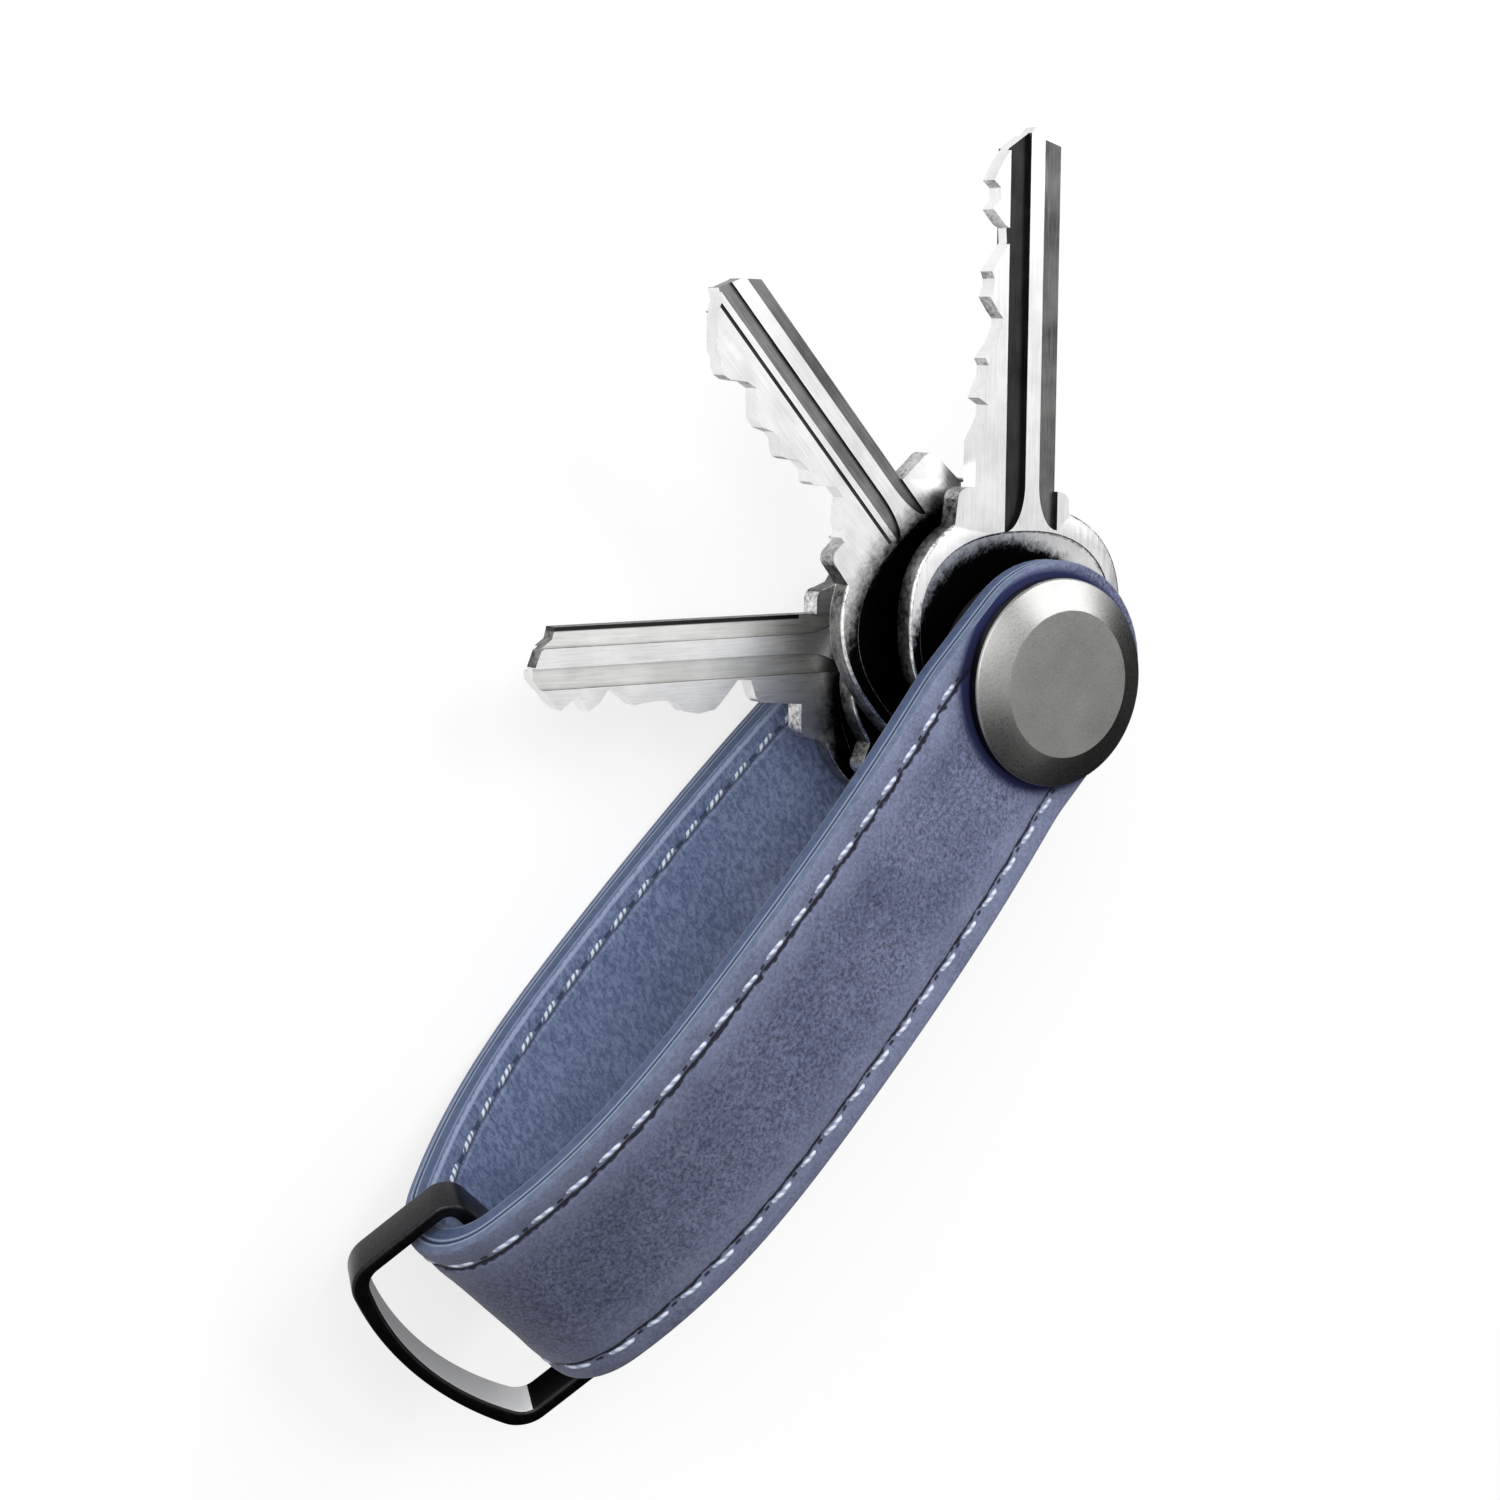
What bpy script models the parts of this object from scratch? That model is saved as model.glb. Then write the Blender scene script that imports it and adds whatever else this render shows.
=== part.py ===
# Key organizer: a leather strap folded once round a ring, with its two ends
# clamped by a coin screw on a stack of keys that fan out like penknife blades.
#
# Metres, +Z up. The organizer lies flat. Z is the screw's axis, and the origin is on
# that axis, on the rear cap's outer face. +X runs from the ring to the screw, and the
# keys fan out towards +Y. Heights named "level" are measured from the mid plane.

import math

import bmesh
import bpy
from mathutils import Vector

MM = 0.001

# Strap
strap_width = 20.0 * MM
strap_end = 11.3 * MM           # axis to the ends of the strap
outer_leather = 1.1 * MM
lining_leather = 1.7 * MM
glue_line = 0.2 * MM
clamp_reach = 7.0 * MM          # how far from the axis the ends stay parallel
bulge_reach = 43.0 * MM         # axis to the widest place
fold_reach = 71.7 * MM          # axis to the lining in the fold
fold_radius = 5.85 * MM         # lining's radius in the fold
fold_sweep = math.radians(60)
clamp_handle_share = 0.11
bulge_handle_share = 0.67
fold_handle_share = 0.36

# Seams
seam_inset = 2.1 * MM           # strap's edge to the middle of the seam
thread_width = 0.7 * MM
thread_height = 0.3 * MM
thread_gap = 0.15 * MM
thread_depth = 0.05 * MM        # how far the thread lies under the leather's face

# Caps and screw
cap_margin = 0.5 * MM           # strap's edge to the cap's rim
cap_wall = 1.2 * MM
cap_bevel = 1.3 * MM
cap_bevel_run = 2.8 * MM        # cap's rim to its flat face
cap_gap = 0.25 * MM             # leather to the cap's underside
cap_fillet = 0.25 * MM
barrel_radius = 2.5 * MM
barrel_wall = 0.75 * MM
screw_clearance = 0.25 * MM     # screw's shank to the barrel's bore
screw_reach = 15.0 * MM
barrel_end_gap = 0.6 * MM       # barrel's mouth to the rear cap
coin_slot_width = 1.6 * MM
coin_slot_depth = 0.6 * MM
coin_slot_end = 1.2 * MM        # slot's end to the edge of the flat face
hole_clearance = 0.3 * MM       # barrel to the holes round it

# Key stack
key_thickness = 2.1 * MM
spacer_thickness = 0.9 * MM
running_gap = 0.15 * MM
spacer_radius = 4.6 * MM
spacer_fillet = 0.22 * MM
washer_thickness = 1.45 * MM
washer_margin = 0.6 * MM        # strap's edge to the washer's rim
washer_fillet = 0.4 * MM

# Keys, shared sizes
bow_half_width = 12.3 * MM
bow_tail = 5.2 * MM             # hole's centre to the bow's far edge
bow_power = 2.4                 # 2 is an ellipse, more is squarer
bow_rim = 1.1 * MM              # round the bow
neck_rim = 2.2 * MM             # and between the bow and the blade
bow_recess = 0.25 * MM
shoulder_height = 1.9 * MM      # how far the stop lies before the blade's root
shoulder_fillet = 1.0 * MM
groove_depth = 0.55 * MM
groove_lead = 4.2 * MM          # stop to the grooves' ends in the bow
groove_point = 4.4 * MM         # length of the cutter's run-out towards the bow
mill_depth = 0.35 * MM          # taken off the rear face along the bitting
mill_lead = 0.4 * MM            # stop to the start of that cut

# Each key: hole to stop, blade's length and height, blade's back edge to the hole's
# centre, the widths of the stop on the back side and on the bitting side, and how far
# the back side's stop lies nearer to the bow
front_stop = 17.5 * MM
front_blade = 32.3 * MM
front_height = 9.7 * MM
front_back = 4.5 * MM
front_back_ear = 1.3 * MM
front_bitting_ear = 1.9 * MM
front_back_lag = 0.7 * MM
middle_stop = 21.0 * MM
middle_blade = 25.6 * MM
middle_height = 8.5 * MM
middle_back = 3.7 * MM
middle_back_ear = 4.2 * MM
middle_bitting_ear = 2.0 * MM
middle_back_lag = 0.1 * MM
folded_stop = 14.6 * MM
folded_blade = 29.0 * MM
folded_height = 8.6 * MM
folded_back = 4.3 * MM
folded_back_ear = 1.2 * MM
folded_bitting_ear = 2.3 * MM
folded_back_lag = 0.1 * MM
rear_stop = 17.3 * MM
rear_blade = 28.0 * MM
rear_height = 8.8 * MM
rear_back = 5.6 * MM
rear_back_ear = 2.3 * MM
rear_bitting_ear = 2.7 * MM
rear_back_lag = 1.6 * MM

# Ring
ring_strip_width = 3.8 * MM
ring_strip_thickness = 1.3 * MM
ring_side_gap = 0.9 * MM        # strap's edge to the ring's arm
ring_reach = 13.9 * MM          # bar's centre to the outside of the far side
ring_sagitta = 2.6 * MM         # how far the far side bows out
ring_corner = 3.2 * MM          # outer radius of the far corners
ring_bar_corner = 2.2 * MM      # outer radius of the corners beside the bar
ring_edge = 0.25 * MM
ring_play = 0.25 * MM           # bar to the lining when the ring turns
ring_bar_level = 0.9 * MM
ring_tilt = math.radians(-27)

cut_overrun = 1.0 * MM          # how far cutters reach past what they cut

weld_distance = 0.001 * MM
edge_angle = math.radians(50)      # an edge sharper than this is bevelled
sharp_angle = math.radians(35)     # and one sharper than this is shaded sharp

strap_half = strap_width / 2
strap_thickness = lining_leather + glue_line + outer_leather
cap_radius = strap_half - cap_margin
cap_flat_radius = cap_radius - cap_bevel_run
coin_slot_length = 2 * (cap_flat_radius - coin_slot_end)
washer_radius = strap_half - washer_margin

# The stack's heights: four keys with three spacers, then a washer, the strap and a cap
# on each side. The strap's belly bulges as far out as the caps.
key_pitch = key_thickness + spacer_thickness + 2 * running_gap
stack_half = 1.5 * key_pitch + key_thickness / 2
clamp_half = stack_half + washer_thickness + 2 * running_gap
cap_height = cap_wall + cap_bevel
cap_under_level = clamp_half + strap_thickness + cap_gap
mid_height = cap_under_level + cap_height
bulge_half = mid_height - strap_thickness
barrel_bore = barrel_radius - barrel_wall
screw_radius = barrel_bore - screw_clearance
hole_radius = barrel_radius + hole_clearance

ROUND_STEPS = 64
HOLE_STEPS = 40
FOLD_STEPS = 9
FLAP_STEPS = 9
RUN_OUT_STEPS = 5

# Keys: name, level, degrees from +X, and sizes. Each bitting is a list of places along
# the blade and heights, both as shares of the blade. The grooves in a blade's front face
# each run between two such heights; the first one is open to the back edge.
KEYS = (
    dict(name="key_front", level=1.5 * key_pitch, turn=44.4, stop=front_stop,
         blade=front_blade, height=front_height, back=front_back,
         back_ear=front_back_ear, bitting_ear=front_bitting_ear, back_lag=front_back_lag,
         groove_shares=((-0.10, 0.23), (0.40, 0.64)),
         bitting_shares=((0.00, 1.00), (0.13, 1.00), (0.18, 0.90), (0.20, 0.87),
                         (0.23, 0.86), (0.25, 0.97), (0.31, 0.87), (0.34, 0.86),
                         (0.36, 0.90), (0.40, 0.78), (0.45, 0.70), (0.47, 0.70),
                         (0.49, 0.76), (0.53, 0.86), (0.56, 0.81), (0.58, 0.81),
                         (0.60, 0.84), (0.65, 0.71), (0.68, 0.63), (0.72, 0.64),
                         (0.73, 0.70), (0.77, 0.83), (0.80, 0.75), (0.83, 0.75)),
         tip_shares=((0.85, 0.83), (0.88, 0.77), (0.91, 0.71), (0.94, 0.62), (0.98, 0.41),
                     (1.00, 0.35), (0.97, 0.22), (0.95, 0.00))),
    dict(name="key_middle", level=0.5 * key_pitch, turn=85.3, stop=middle_stop,
         blade=middle_blade, height=middle_height, back=middle_back,
         back_ear=middle_back_ear, bitting_ear=middle_bitting_ear,
         back_lag=middle_back_lag, groove_shares=((-0.10, 0.14), (0.31, 0.47)),
         bitting_shares=((0.00, 0.99), (0.02, 0.99), (0.03, 0.92), (0.06, 0.89),
                         (0.10, 0.77), (0.12, 0.69), (0.17, 0.69), (0.20, 0.78),
                         (0.24, 0.89), (0.26, 0.91), (0.29, 0.83), (0.34, 0.85),
                         (0.38, 0.96), (0.40, 0.99), (0.42, 0.98), (0.46, 0.90),
                         (0.49, 0.91), (0.53, 0.98), (0.57, 0.98), (0.65, 0.78),
                         (0.69, 0.82), (0.74, 0.96), (0.77, 0.99), (0.80, 0.96),
                         (0.82, 0.91), (0.85, 0.89), (0.94, 0.65)),
         tip_shares=((0.96, 0.51), (1.00, 0.45), (0.97, 0.20), (0.91, 0.00))),
    dict(name="key_folded", level=-0.5 * key_pitch, turn=188.0, stop=folded_stop,
         blade=folded_blade, height=folded_height, back=folded_back,
         back_ear=folded_back_ear, bitting_ear=folded_bitting_ear,
         back_lag=folded_back_lag, groove_shares=((-0.10, 0.22), (0.40, 0.64)),
         bitting_shares=((0.00, 1.00), (0.10, 1.00), (0.15, 0.84), (0.18, 0.75),
                         (0.23, 0.75), (0.28, 0.90), (0.34, 0.94), (0.40, 0.74),
                         (0.44, 0.73), (0.49, 0.88), (0.55, 0.80), (0.60, 0.81),
                         (0.64, 0.90), (0.70, 0.74), (0.74, 0.73), (0.79, 0.86),
                         (0.84, 0.72), (0.90, 0.82)),
         tip_shares=((0.96, 0.66), (1.00, 0.45), (0.98, 0.16), (0.95, 0.00))),
    dict(name="key_rear", level=-1.5 * key_pitch, turn=134.1, stop=rear_stop,
         blade=rear_blade, height=rear_height, back=rear_back,
         back_ear=rear_back_ear, bitting_ear=rear_bitting_ear, back_lag=rear_back_lag,
         groove_shares=((-0.10, 0.20), (0.40, 0.62)),
         bitting_shares=((0.00, 0.94), (0.16, 0.89), (0.18, 0.83), (0.20, 0.65),
                         (0.25, 0.64), (0.32, 0.88), (0.34, 0.93), (0.40, 0.96),
                         (0.45, 0.93), (0.48, 0.84), (0.51, 0.80), (0.57, 0.80),
                         (0.61, 0.81), (0.64, 0.83), (0.67, 0.75), (0.71, 0.66),
                         (0.73, 0.63), (0.74, 0.66), (0.77, 0.78), (0.81, 0.86),
                         (0.84, 0.73), (0.85, 0.70), (0.91, 0.83), (0.94, 0.75)),
         tip_shares=((0.97, 0.63), (1.00, 0.51), (1.00, 0.39), (0.98, 0.23), (0.93, 0.12),
                     (0.92, 0.00))),
)


def clear_scene():
    for thing in list(bpy.data.objects):
        bpy.data.objects.remove(thing, do_unlink=True)


def new_collection(name):
    folder = bpy.data.collections.new(name)
    bpy.context.scene.collection.children.link(folder)
    return folder


def principled(name, colour, roughness, metallic):
    finish = bpy.data.materials.new(name)
    finish.use_nodes = True
    shader = finish.node_tree.nodes["Principled BSDF"]
    shader.inputs["Base Color"].default_value = (*colour, 1.0)
    shader.inputs["Roughness"].default_value = roughness
    shader.inputs["Metallic"].default_value = metallic
    return finish


clear_scene()
parts = new_collection("key_organizer")
cutters = new_collection("cutters")

nubuck = principled("nubuck leather", (0.115, 0.125, 0.215), 0.85, 0.0)
smooth_leather = principled("smooth leather", (0.125, 0.165, 0.270), 0.55, 0.0)
seam_thread = principled("bonded thread", (0.480, 0.560, 0.680), 0.60, 0.0)
gunmetal = principled("gunmetal", (0.150, 0.150, 0.150), 0.38, 1.0)
nickel = principled("nickel plate", (0.700, 0.700, 0.690), 0.22, 1.0)
dark_washer = principled("dark nylon", (0.020, 0.020, 0.022), 0.50, 0.0)

stack_axis = bpy.data.objects.new("stack_axis", None)
stack_axis.location = (0.0, 0.0, mid_height)
parts.objects.link(stack_axis)


def add_object(name, mesh, finish, parent=stack_axis, folder=parts):
    piece = bpy.data.objects.new(name, mesh)
    folder.objects.link(piece)
    piece.parent = parent
    if finish is None:
        piece.hide_render = True
        piece.display_type = "WIRE"
    else:
        mesh.materials.append(finish)
    return piece


def boolean(piece, cutter, operation="DIFFERENCE"):
    cut = piece.modifiers.new(cutter.name, "BOOLEAN")
    cut.operation = operation
    cut.object = cutter
    cut.solver = "EXACT"


def smooth(mesh):
    mesh.shade_smooth()
    mesh.set_sharp_from_angle(angle=sharp_angle)


def flat_solid(name, outlines, thickness):
    """A mesh of the given thickness, centred on z = 0, from closed 2D outlines."""
    curve = bpy.data.curves.new(name, "CURVE")
    curve.dimensions = "2D"
    curve.fill_mode = "BOTH"
    curve.extrude = thickness / 2
    for outline in outlines:
        spline = curve.splines.new("POLY")
        spline.points.add(len(outline) - 1)
        for point, (x, y) in zip(spline.points, outline):
            point.co = (x, y, 0.0, 1.0)
        spline.use_cyclic_u = True
    holder = bpy.data.objects.new(name, curve)
    bpy.context.scene.collection.objects.link(holder)
    graph = bpy.context.evaluated_depsgraph_get()
    mesh = bpy.data.meshes.new_from_object(holder.evaluated_get(graph))
    bpy.data.objects.remove(holder, do_unlink=True)
    shell = bmesh.new()
    shell.from_mesh(mesh)
    bmesh.ops.remove_doubles(shell, verts=shell.verts, dist=weld_distance)
    bmesh.ops.recalc_face_normals(shell, faces=shell.faces)
    shell.to_mesh(mesh)
    shell.free()
    mesh.name = name
    return mesh


def arc(centre, radius, start, end, steps):
    """Points on an arc, both ends included, angles in radians."""
    return [(centre[0] + radius * math.cos(start + (end - start) * i / steps),
             centre[1] + radius * math.sin(start + (end - start) * i / steps))
            for i in range(steps + 1)]


def circle(radius, steps):
    return arc((0.0, 0.0), radius, 0.0, 2 * math.pi, steps)[:-1]


def turned(name, profile, finish, steps=ROUND_STEPS, folder=parts):
    """A turned piece. The profile is (radius, height) pairs, top to bottom outside."""
    mesh = bpy.data.meshes.new(name)
    shape = bmesh.new()
    rings = [shape.verts.new((radius, 0.0, height)) for radius, height in profile]
    for first, second in zip(rings, rings[1:]):
        shape.edges.new((first, second))
    if profile[0][0] > 0.0:
        shape.edges.new((rings[-1], rings[0]))
    shape.to_mesh(mesh)
    shape.free()
    piece = add_object(name, mesh, finish, folder=folder)
    screw = piece.modifiers.new("turn", "SCREW")
    screw.axis = "Z"
    screw.steps = steps
    screw.render_steps = steps
    screw.use_merge_vertices = True
    screw.merge_threshold = weld_distance
    screw.use_smooth_shade = True
    return piece


def bezier(start, first, second, end, steps):
    points = []
    for i in range(1, steps + 1):
        t = i / steps
        s = 1.0 - t
        points.append(s ** 3 * start + 3 * s * s * t * first
                      + 3 * s * t * t * second + t ** 3 * end)
    return points


def strap_line():
    """The lining's face from the front end round the fold to the rear end, in x and z."""
    centre_x = -fold_reach + fold_radius
    clamp = Vector((-clamp_reach, clamp_half))
    bulge = Vector((-bulge_reach, bulge_half))
    fold = Vector((centre_x - fold_radius * math.cos(fold_sweep),
                   fold_radius * math.sin(fold_sweep)))
    into_fold = Vector((-math.sin(fold_sweep), -math.cos(fold_sweep)))
    span = bulge_reach - clamp_reach
    fold_span = (fold - bulge).length * fold_handle_share
    along = Vector((-1.0, 0.0))
    points = [Vector((strap_end + cut_overrun, clamp_half)), clamp]
    points += bezier(clamp, clamp + along * span * clamp_handle_share,
                     bulge - along * span * bulge_handle_share, bulge, FLAP_STEPS)
    points += bezier(bulge, bulge + along * fold_span,
                     fold - into_fold * fold_span, fold, FLAP_STEPS)
    for i in range(1, FOLD_STEPS + 1):
        turn = fold_sweep * (1.0 - i / FOLD_STEPS)
        points.append(Vector((centre_x - fold_radius * math.cos(turn),
                              fold_radius * math.sin(turn))))
    mirrored = [Vector((p.x, -p.y)) for p in reversed(points[:-1])]
    return points + mirrored


def offset_line(points, distance):
    """The line moved outwards, away from the keys, by a distance."""
    moved = []
    last = len(points) - 1
    for i, point in enumerate(points):
        before = points[max(i - 1, 0)]
        after = points[min(i + 1, last)]
        first = (point - before).normalized() if i > 0 else (after - point).normalized()
        second = (after - point).normalized() if i < last else first
        along = (first + second).normalized()
        square = Vector((along.y, -along.x))
        stretch = 1.0 / max(math.cos(first.angle(second) / 2), 0.5)
        moved.append(point + square * distance * stretch)
    return moved


def swept(name, section, finish, line=None):
    """A cross-section swept along the strap. Each of its points is a place across the
    strap and a distance outside the lining's face."""
    path = line or strap_line()
    rails = [(side, offset_line(path, distance)) for side, distance in section]
    mesh = bpy.data.meshes.new(name)
    shape = bmesh.new()
    ring = [shape.verts.new((rail[0].x, side, rail[0].y)) for side, rail in rails]
    edges = [shape.edges.new(pair) for pair in zip(ring, ring[1:] + ring[:1])]
    bmesh.ops.contextual_create(shape, geom=edges)
    for step in range(1, len(path)):
        result = bmesh.ops.extrude_edge_only(shape, edges=edges)
        edges = [e for e in result["geom"] if isinstance(e, bmesh.types.BMEdge)]
        raised = [v for v in result["geom"] if isinstance(v, bmesh.types.BMVert)]
        for vert in raised:
            side, rail = min(rails, key=lambda r: (Vector((r[1][step - 1].x, r[0],
                             r[1][step - 1].y)) - vert.co).length)
            vert.co = (rail[step].x, side, rail[step].y)
    bmesh.ops.contextual_create(shape, geom=edges)
    bmesh.ops.recalc_face_normals(shape, faces=shape.faces)
    shape.to_mesh(mesh)
    shape.free()
    return add_object(name, mesh, finish)


def rectangle(middle, half_width, low, high):
    return [(middle - half_width, low), (middle + half_width, low),
            (middle + half_width, high), (middle - half_width, high)]


def channelled(low, high, face, floor):
    """A leather's section with a channel for a seam near each edge, cut from face to
    floor."""
    points = []
    for middle in (-seam_side, seam_side):
        points += [(middle - channel_half, face), (middle - channel_half, floor),
                   (middle + channel_half, floor), (middle + channel_half, face)]
    plain = high if face == low else low
    return [(-sheet_half, face)] + points + [(sheet_half, face), (sheet_half, plain),
                                             (-sheet_half, plain)]


# Strap: two leathers, glued back to back and sewn along both edges.
plan_reach = fold_reach + strap_thickness + cut_overrun
plan_outline = arc((strap_end - strap_half, 0.0), strap_half, -math.pi / 2, math.pi / 2,
                   ROUND_STEPS // 2)
plan_outline += [(-plan_reach, strap_half), (-plan_reach, -strap_half)]
plan = add_object("strap_plan", flat_solid("strap_plan", [plan_outline], 2 * mid_height),
                  None, folder=cutters)
strap_hole = add_object("strap_hole",
                        flat_solid("strap_hole", [circle(hole_radius, HOLE_STEPS)],
                                   2 * mid_height), None, folder=cutters)

sheet_half = strap_half + cut_overrun
channel_depth = thread_depth + thread_height + thread_gap
channel_half = thread_width / 2 + thread_gap
seam_side = strap_half - seam_inset
seam_start = -math.sqrt(cap_radius ** 2 - seam_side ** 2) - thread_gap

lining = swept("leather_lining",
               channelled(0.0, lining_leather, 0.0, channel_depth), smooth_leather)
outer = swept("leather_outer",
              channelled(strap_thickness - outer_leather, strap_thickness,
                         strap_thickness, strap_thickness - channel_depth), nubuck)
for piece in (lining, outer):
    boolean(piece, plan, "INTERSECT")
    boolean(piece, strap_hole)

# Each seam has a needle thread outside and a bobbin thread inside. They run from under
# one cap's rim round the fold to the other.
seam_path = [p for p in strap_line() if p.x < min(seam_start, -clamp_reach)]
seam_path.insert(0, Vector((seam_start, clamp_half)))
seam_path.append(Vector((seam_start, -clamp_half)))
for edge, side in (("near", -seam_side), ("far", seam_side)):
    low = strap_thickness - thread_depth - thread_height
    swept("needle_thread_" + edge,
          rectangle(side, thread_width / 2, low, low + thread_height), seam_thread, seam_path)
    swept("bobbin_thread_" + edge,
          rectangle(side, thread_width / 2, thread_depth, thread_depth + thread_height),
          seam_thread, seam_path)

# Caps: the front one carries the barrel, the rear one the screw with a coin slot.
def cap_profile(sign):
    """A cap's outside from the axis to its underside, for the side sign of the stack."""
    face = sign * (cap_under_level + cap_height)
    rim = sign * (cap_under_level + cap_wall)
    under = sign * cap_under_level
    inset = cap_fillet * (cap_radius - cap_flat_radius) / cap_bevel
    return [(0.0, face), (cap_flat_radius - cap_fillet, face),
            (cap_flat_radius + inset / 2, face - sign * cap_fillet / 2),
            (cap_radius - inset / 2, rim + sign * cap_fillet / 2),
            (cap_radius, rim - sign * cap_fillet / 2),
            (cap_radius, under + sign * cap_fillet), (cap_radius - cap_fillet, under)]


barrel_mouth = -(cap_under_level - barrel_end_gap)
bore_top = screw_reach - cap_under_level + barrel_end_gap
front_profile = cap_profile(1) + [
    (barrel_radius, cap_under_level), (barrel_radius, barrel_mouth),
    (barrel_bore, barrel_mouth), (barrel_bore, bore_top), (0.0, bore_top)]
turned("cap_front", front_profile, gunmetal)

screw_tip = screw_reach - cap_under_level
rear_profile = [(0.0, screw_tip), (screw_radius - cap_fillet, screw_tip),
                (screw_radius, screw_tip - cap_fillet), (screw_radius, -cap_under_level)]
rear_profile += list(reversed(cap_profile(-1)))
rear_cap = turned("cap_rear_screw", rear_profile, gunmetal)
slot_outline = arc((coin_slot_length / 2 - coin_slot_width / 2, 0.0), coin_slot_width / 2,
                   -math.pi / 2, math.pi / 2, HOLE_STEPS // 4)
slot_outline += [(-x, -y) for x, y in slot_outline]
slot_cutter = add_object("coin_slot", flat_solid("coin_slot", [slot_outline],
                                                 2 * coin_slot_depth), None, folder=cutters)
slot_cutter.location.z = -mid_height
boolean(rear_cap, slot_cutter)

# Washers between the strap and the keys, and spacers between the keys.
def washer(name, radius, low, high, fillet, finish):
    profile = [(hole_radius, high), (radius - fillet, high), (radius, high - fillet),
               (radius, low + fillet), (radius - fillet, low), (hole_radius, low)]
    return turned(name, profile, finish)


washer_in = stack_half + running_gap
washer_out = clamp_half - running_gap
washer("washer_front", washer_radius, washer_in, washer_out, washer_fillet, dark_washer)
washer("washer_rear", washer_radius, -washer_out, -washer_in, washer_fillet, dark_washer)
for i in range(3):
    level = (1 - i) * key_pitch
    washer("spacer_%d" % (i + 1), spacer_radius, level - spacer_thickness / 2,
           level + spacer_thickness / 2, spacer_fillet, dark_washer)


# Keys, each drawn with its blade along +X, its hole at the origin and its bitting at +Y.
def bow_outline(shape, inset, neck_inset, steps=ROUND_STEPS):
    """The bow's oval, from one side of the neck round the tail to the other."""
    front = shape["stop"] - shoulder_height - neck_inset
    middle = (front - bow_tail + inset) / 2
    half_length = (front + bow_tail - inset) / 2
    half_width = bow_half_width - inset
    points = []
    for i in range(steps):
        turn = 2 * math.pi * i / steps
        c, s = math.cos(turn), math.sin(turn)
        points.append((middle + half_length * math.copysign(abs(c) ** (2 / bow_power), c),
                       half_width * math.copysign(abs(s) ** (2 / bow_power), s)))
    return points


def key_outline(shape):
    """The whole key: bow, shoulders that stop it in the lock, bitted blade and tip."""
    stop, length, height = shape["stop"], shape["blade"], shape["height"]
    back = -shape["back"]
    top = back + height + shape["bitting_ear"]
    bottom = back - shape["back_ear"]
    fillet = shoulder_fillet
    back_stop = stop - shape["back_lag"]
    bow = [p for p in bow_outline(shape, 0.0, 0.0)
           if not (p[0] > 0 and bottom < p[1] < top)]
    start = next(i for i, p in enumerate(bow) if p[1] >= top and p[0] > 0)
    bow = bow[start:] + bow[:start]
    points = list(bow)
    points += arc((back_stop - fillet, bottom + fillet), fillet, -math.pi / 2, 0.0, 4)
    points += [(back_stop, back)]
    tip = [(stop + length * a, back + height * b) for a, b in shape["tip_shares"]]
    points += list(reversed(tip))
    bitting = [(stop + length * a, back + height * b) for a, b in shape["bitting_shares"]]
    points += list(reversed(bitting))
    points += arc((stop - fillet, top - fillet), fillet, 0.0, math.pi / 2, 4)
    return points


def groove_outline(shape, low, high):
    """A groove from the tip to its cutter's run-out, which curves in to the high side."""
    end = shape["stop"] + shape["blade"] + cut_overrun
    start = shape["stop"] - groove_lead
    curve = []
    for i in range(RUN_OUT_STEPS + 1):
        turn = math.pi / 2 * i / RUN_OUT_STEPS
        curve.append((start + groove_point * math.sin(turn), low + (high - low) * math.cos(turn)))
    return curve + [(end, low), (end, high)]


def mill_outline(shape):
    """The cut along the bitting, from near the stop to past the tip."""
    low = mill_share * shape["height"] - shape["back"]
    high = shape["height"] - shape["back"] + cut_overrun
    start = shape["stop"] + mill_lead
    end = shape["stop"] + shape["blade"] + cut_overrun
    return [(start, low), (end, low), (end, high), (start, high)]


rear_groove_shares = (0.19, 0.43)
mill_share = 0.62
for shape in KEYS:
    name = shape["name"]
    pivot = bpy.data.objects.new(name + "_pivot", None)
    pivot.location = (0.0, 0.0, shape["level"])
    pivot.rotation_euler = (0.0, 0.0, math.radians(shape["turn"]))
    pivot.parent = stack_axis
    parts.objects.link(pivot)
    mesh = flat_solid(name, [key_outline(shape), circle(hole_radius, HOLE_STEPS)],
                      key_thickness)
    key = add_object(name, mesh, nickel, parent=pivot)
    face = key_thickness / 2
    heights = [[share * shape["height"] - shape["back"] for share in pair]
               for pair in (*shape["groove_shares"], rear_groove_shares)]
    cuts = (("back", groove_outline(shape, *heights[0]), face, groove_depth),
            ("front", groove_outline(shape, *heights[1]), face, groove_depth),
            ("rear", groove_outline(shape, *heights[2]), -face, groove_depth),
            ("mill", mill_outline(shape), -face, mill_depth))
    for place, outline, level, depth in cuts:
        cutter_name = name + "_groove_" + place
        cutter = add_object(cutter_name, flat_solid(cutter_name, [outline], 2 * depth),
                            None, parent=pivot, folder=cutters)
        cutter.location.z = level
        boolean(key, cutter)
    for place, level in (("front", face), ("rear", -face)):
        cutter = add_object(name + "_recess_" + place,
                            flat_solid(name + "_recess_" + place,
                                       [bow_outline(shape, bow_rim, neck_rim)],
                                       2 * bow_recess),
                            None, parent=pivot, folder=cutters)
        cutter.location.z = level
        boolean(key, cutter)

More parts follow.
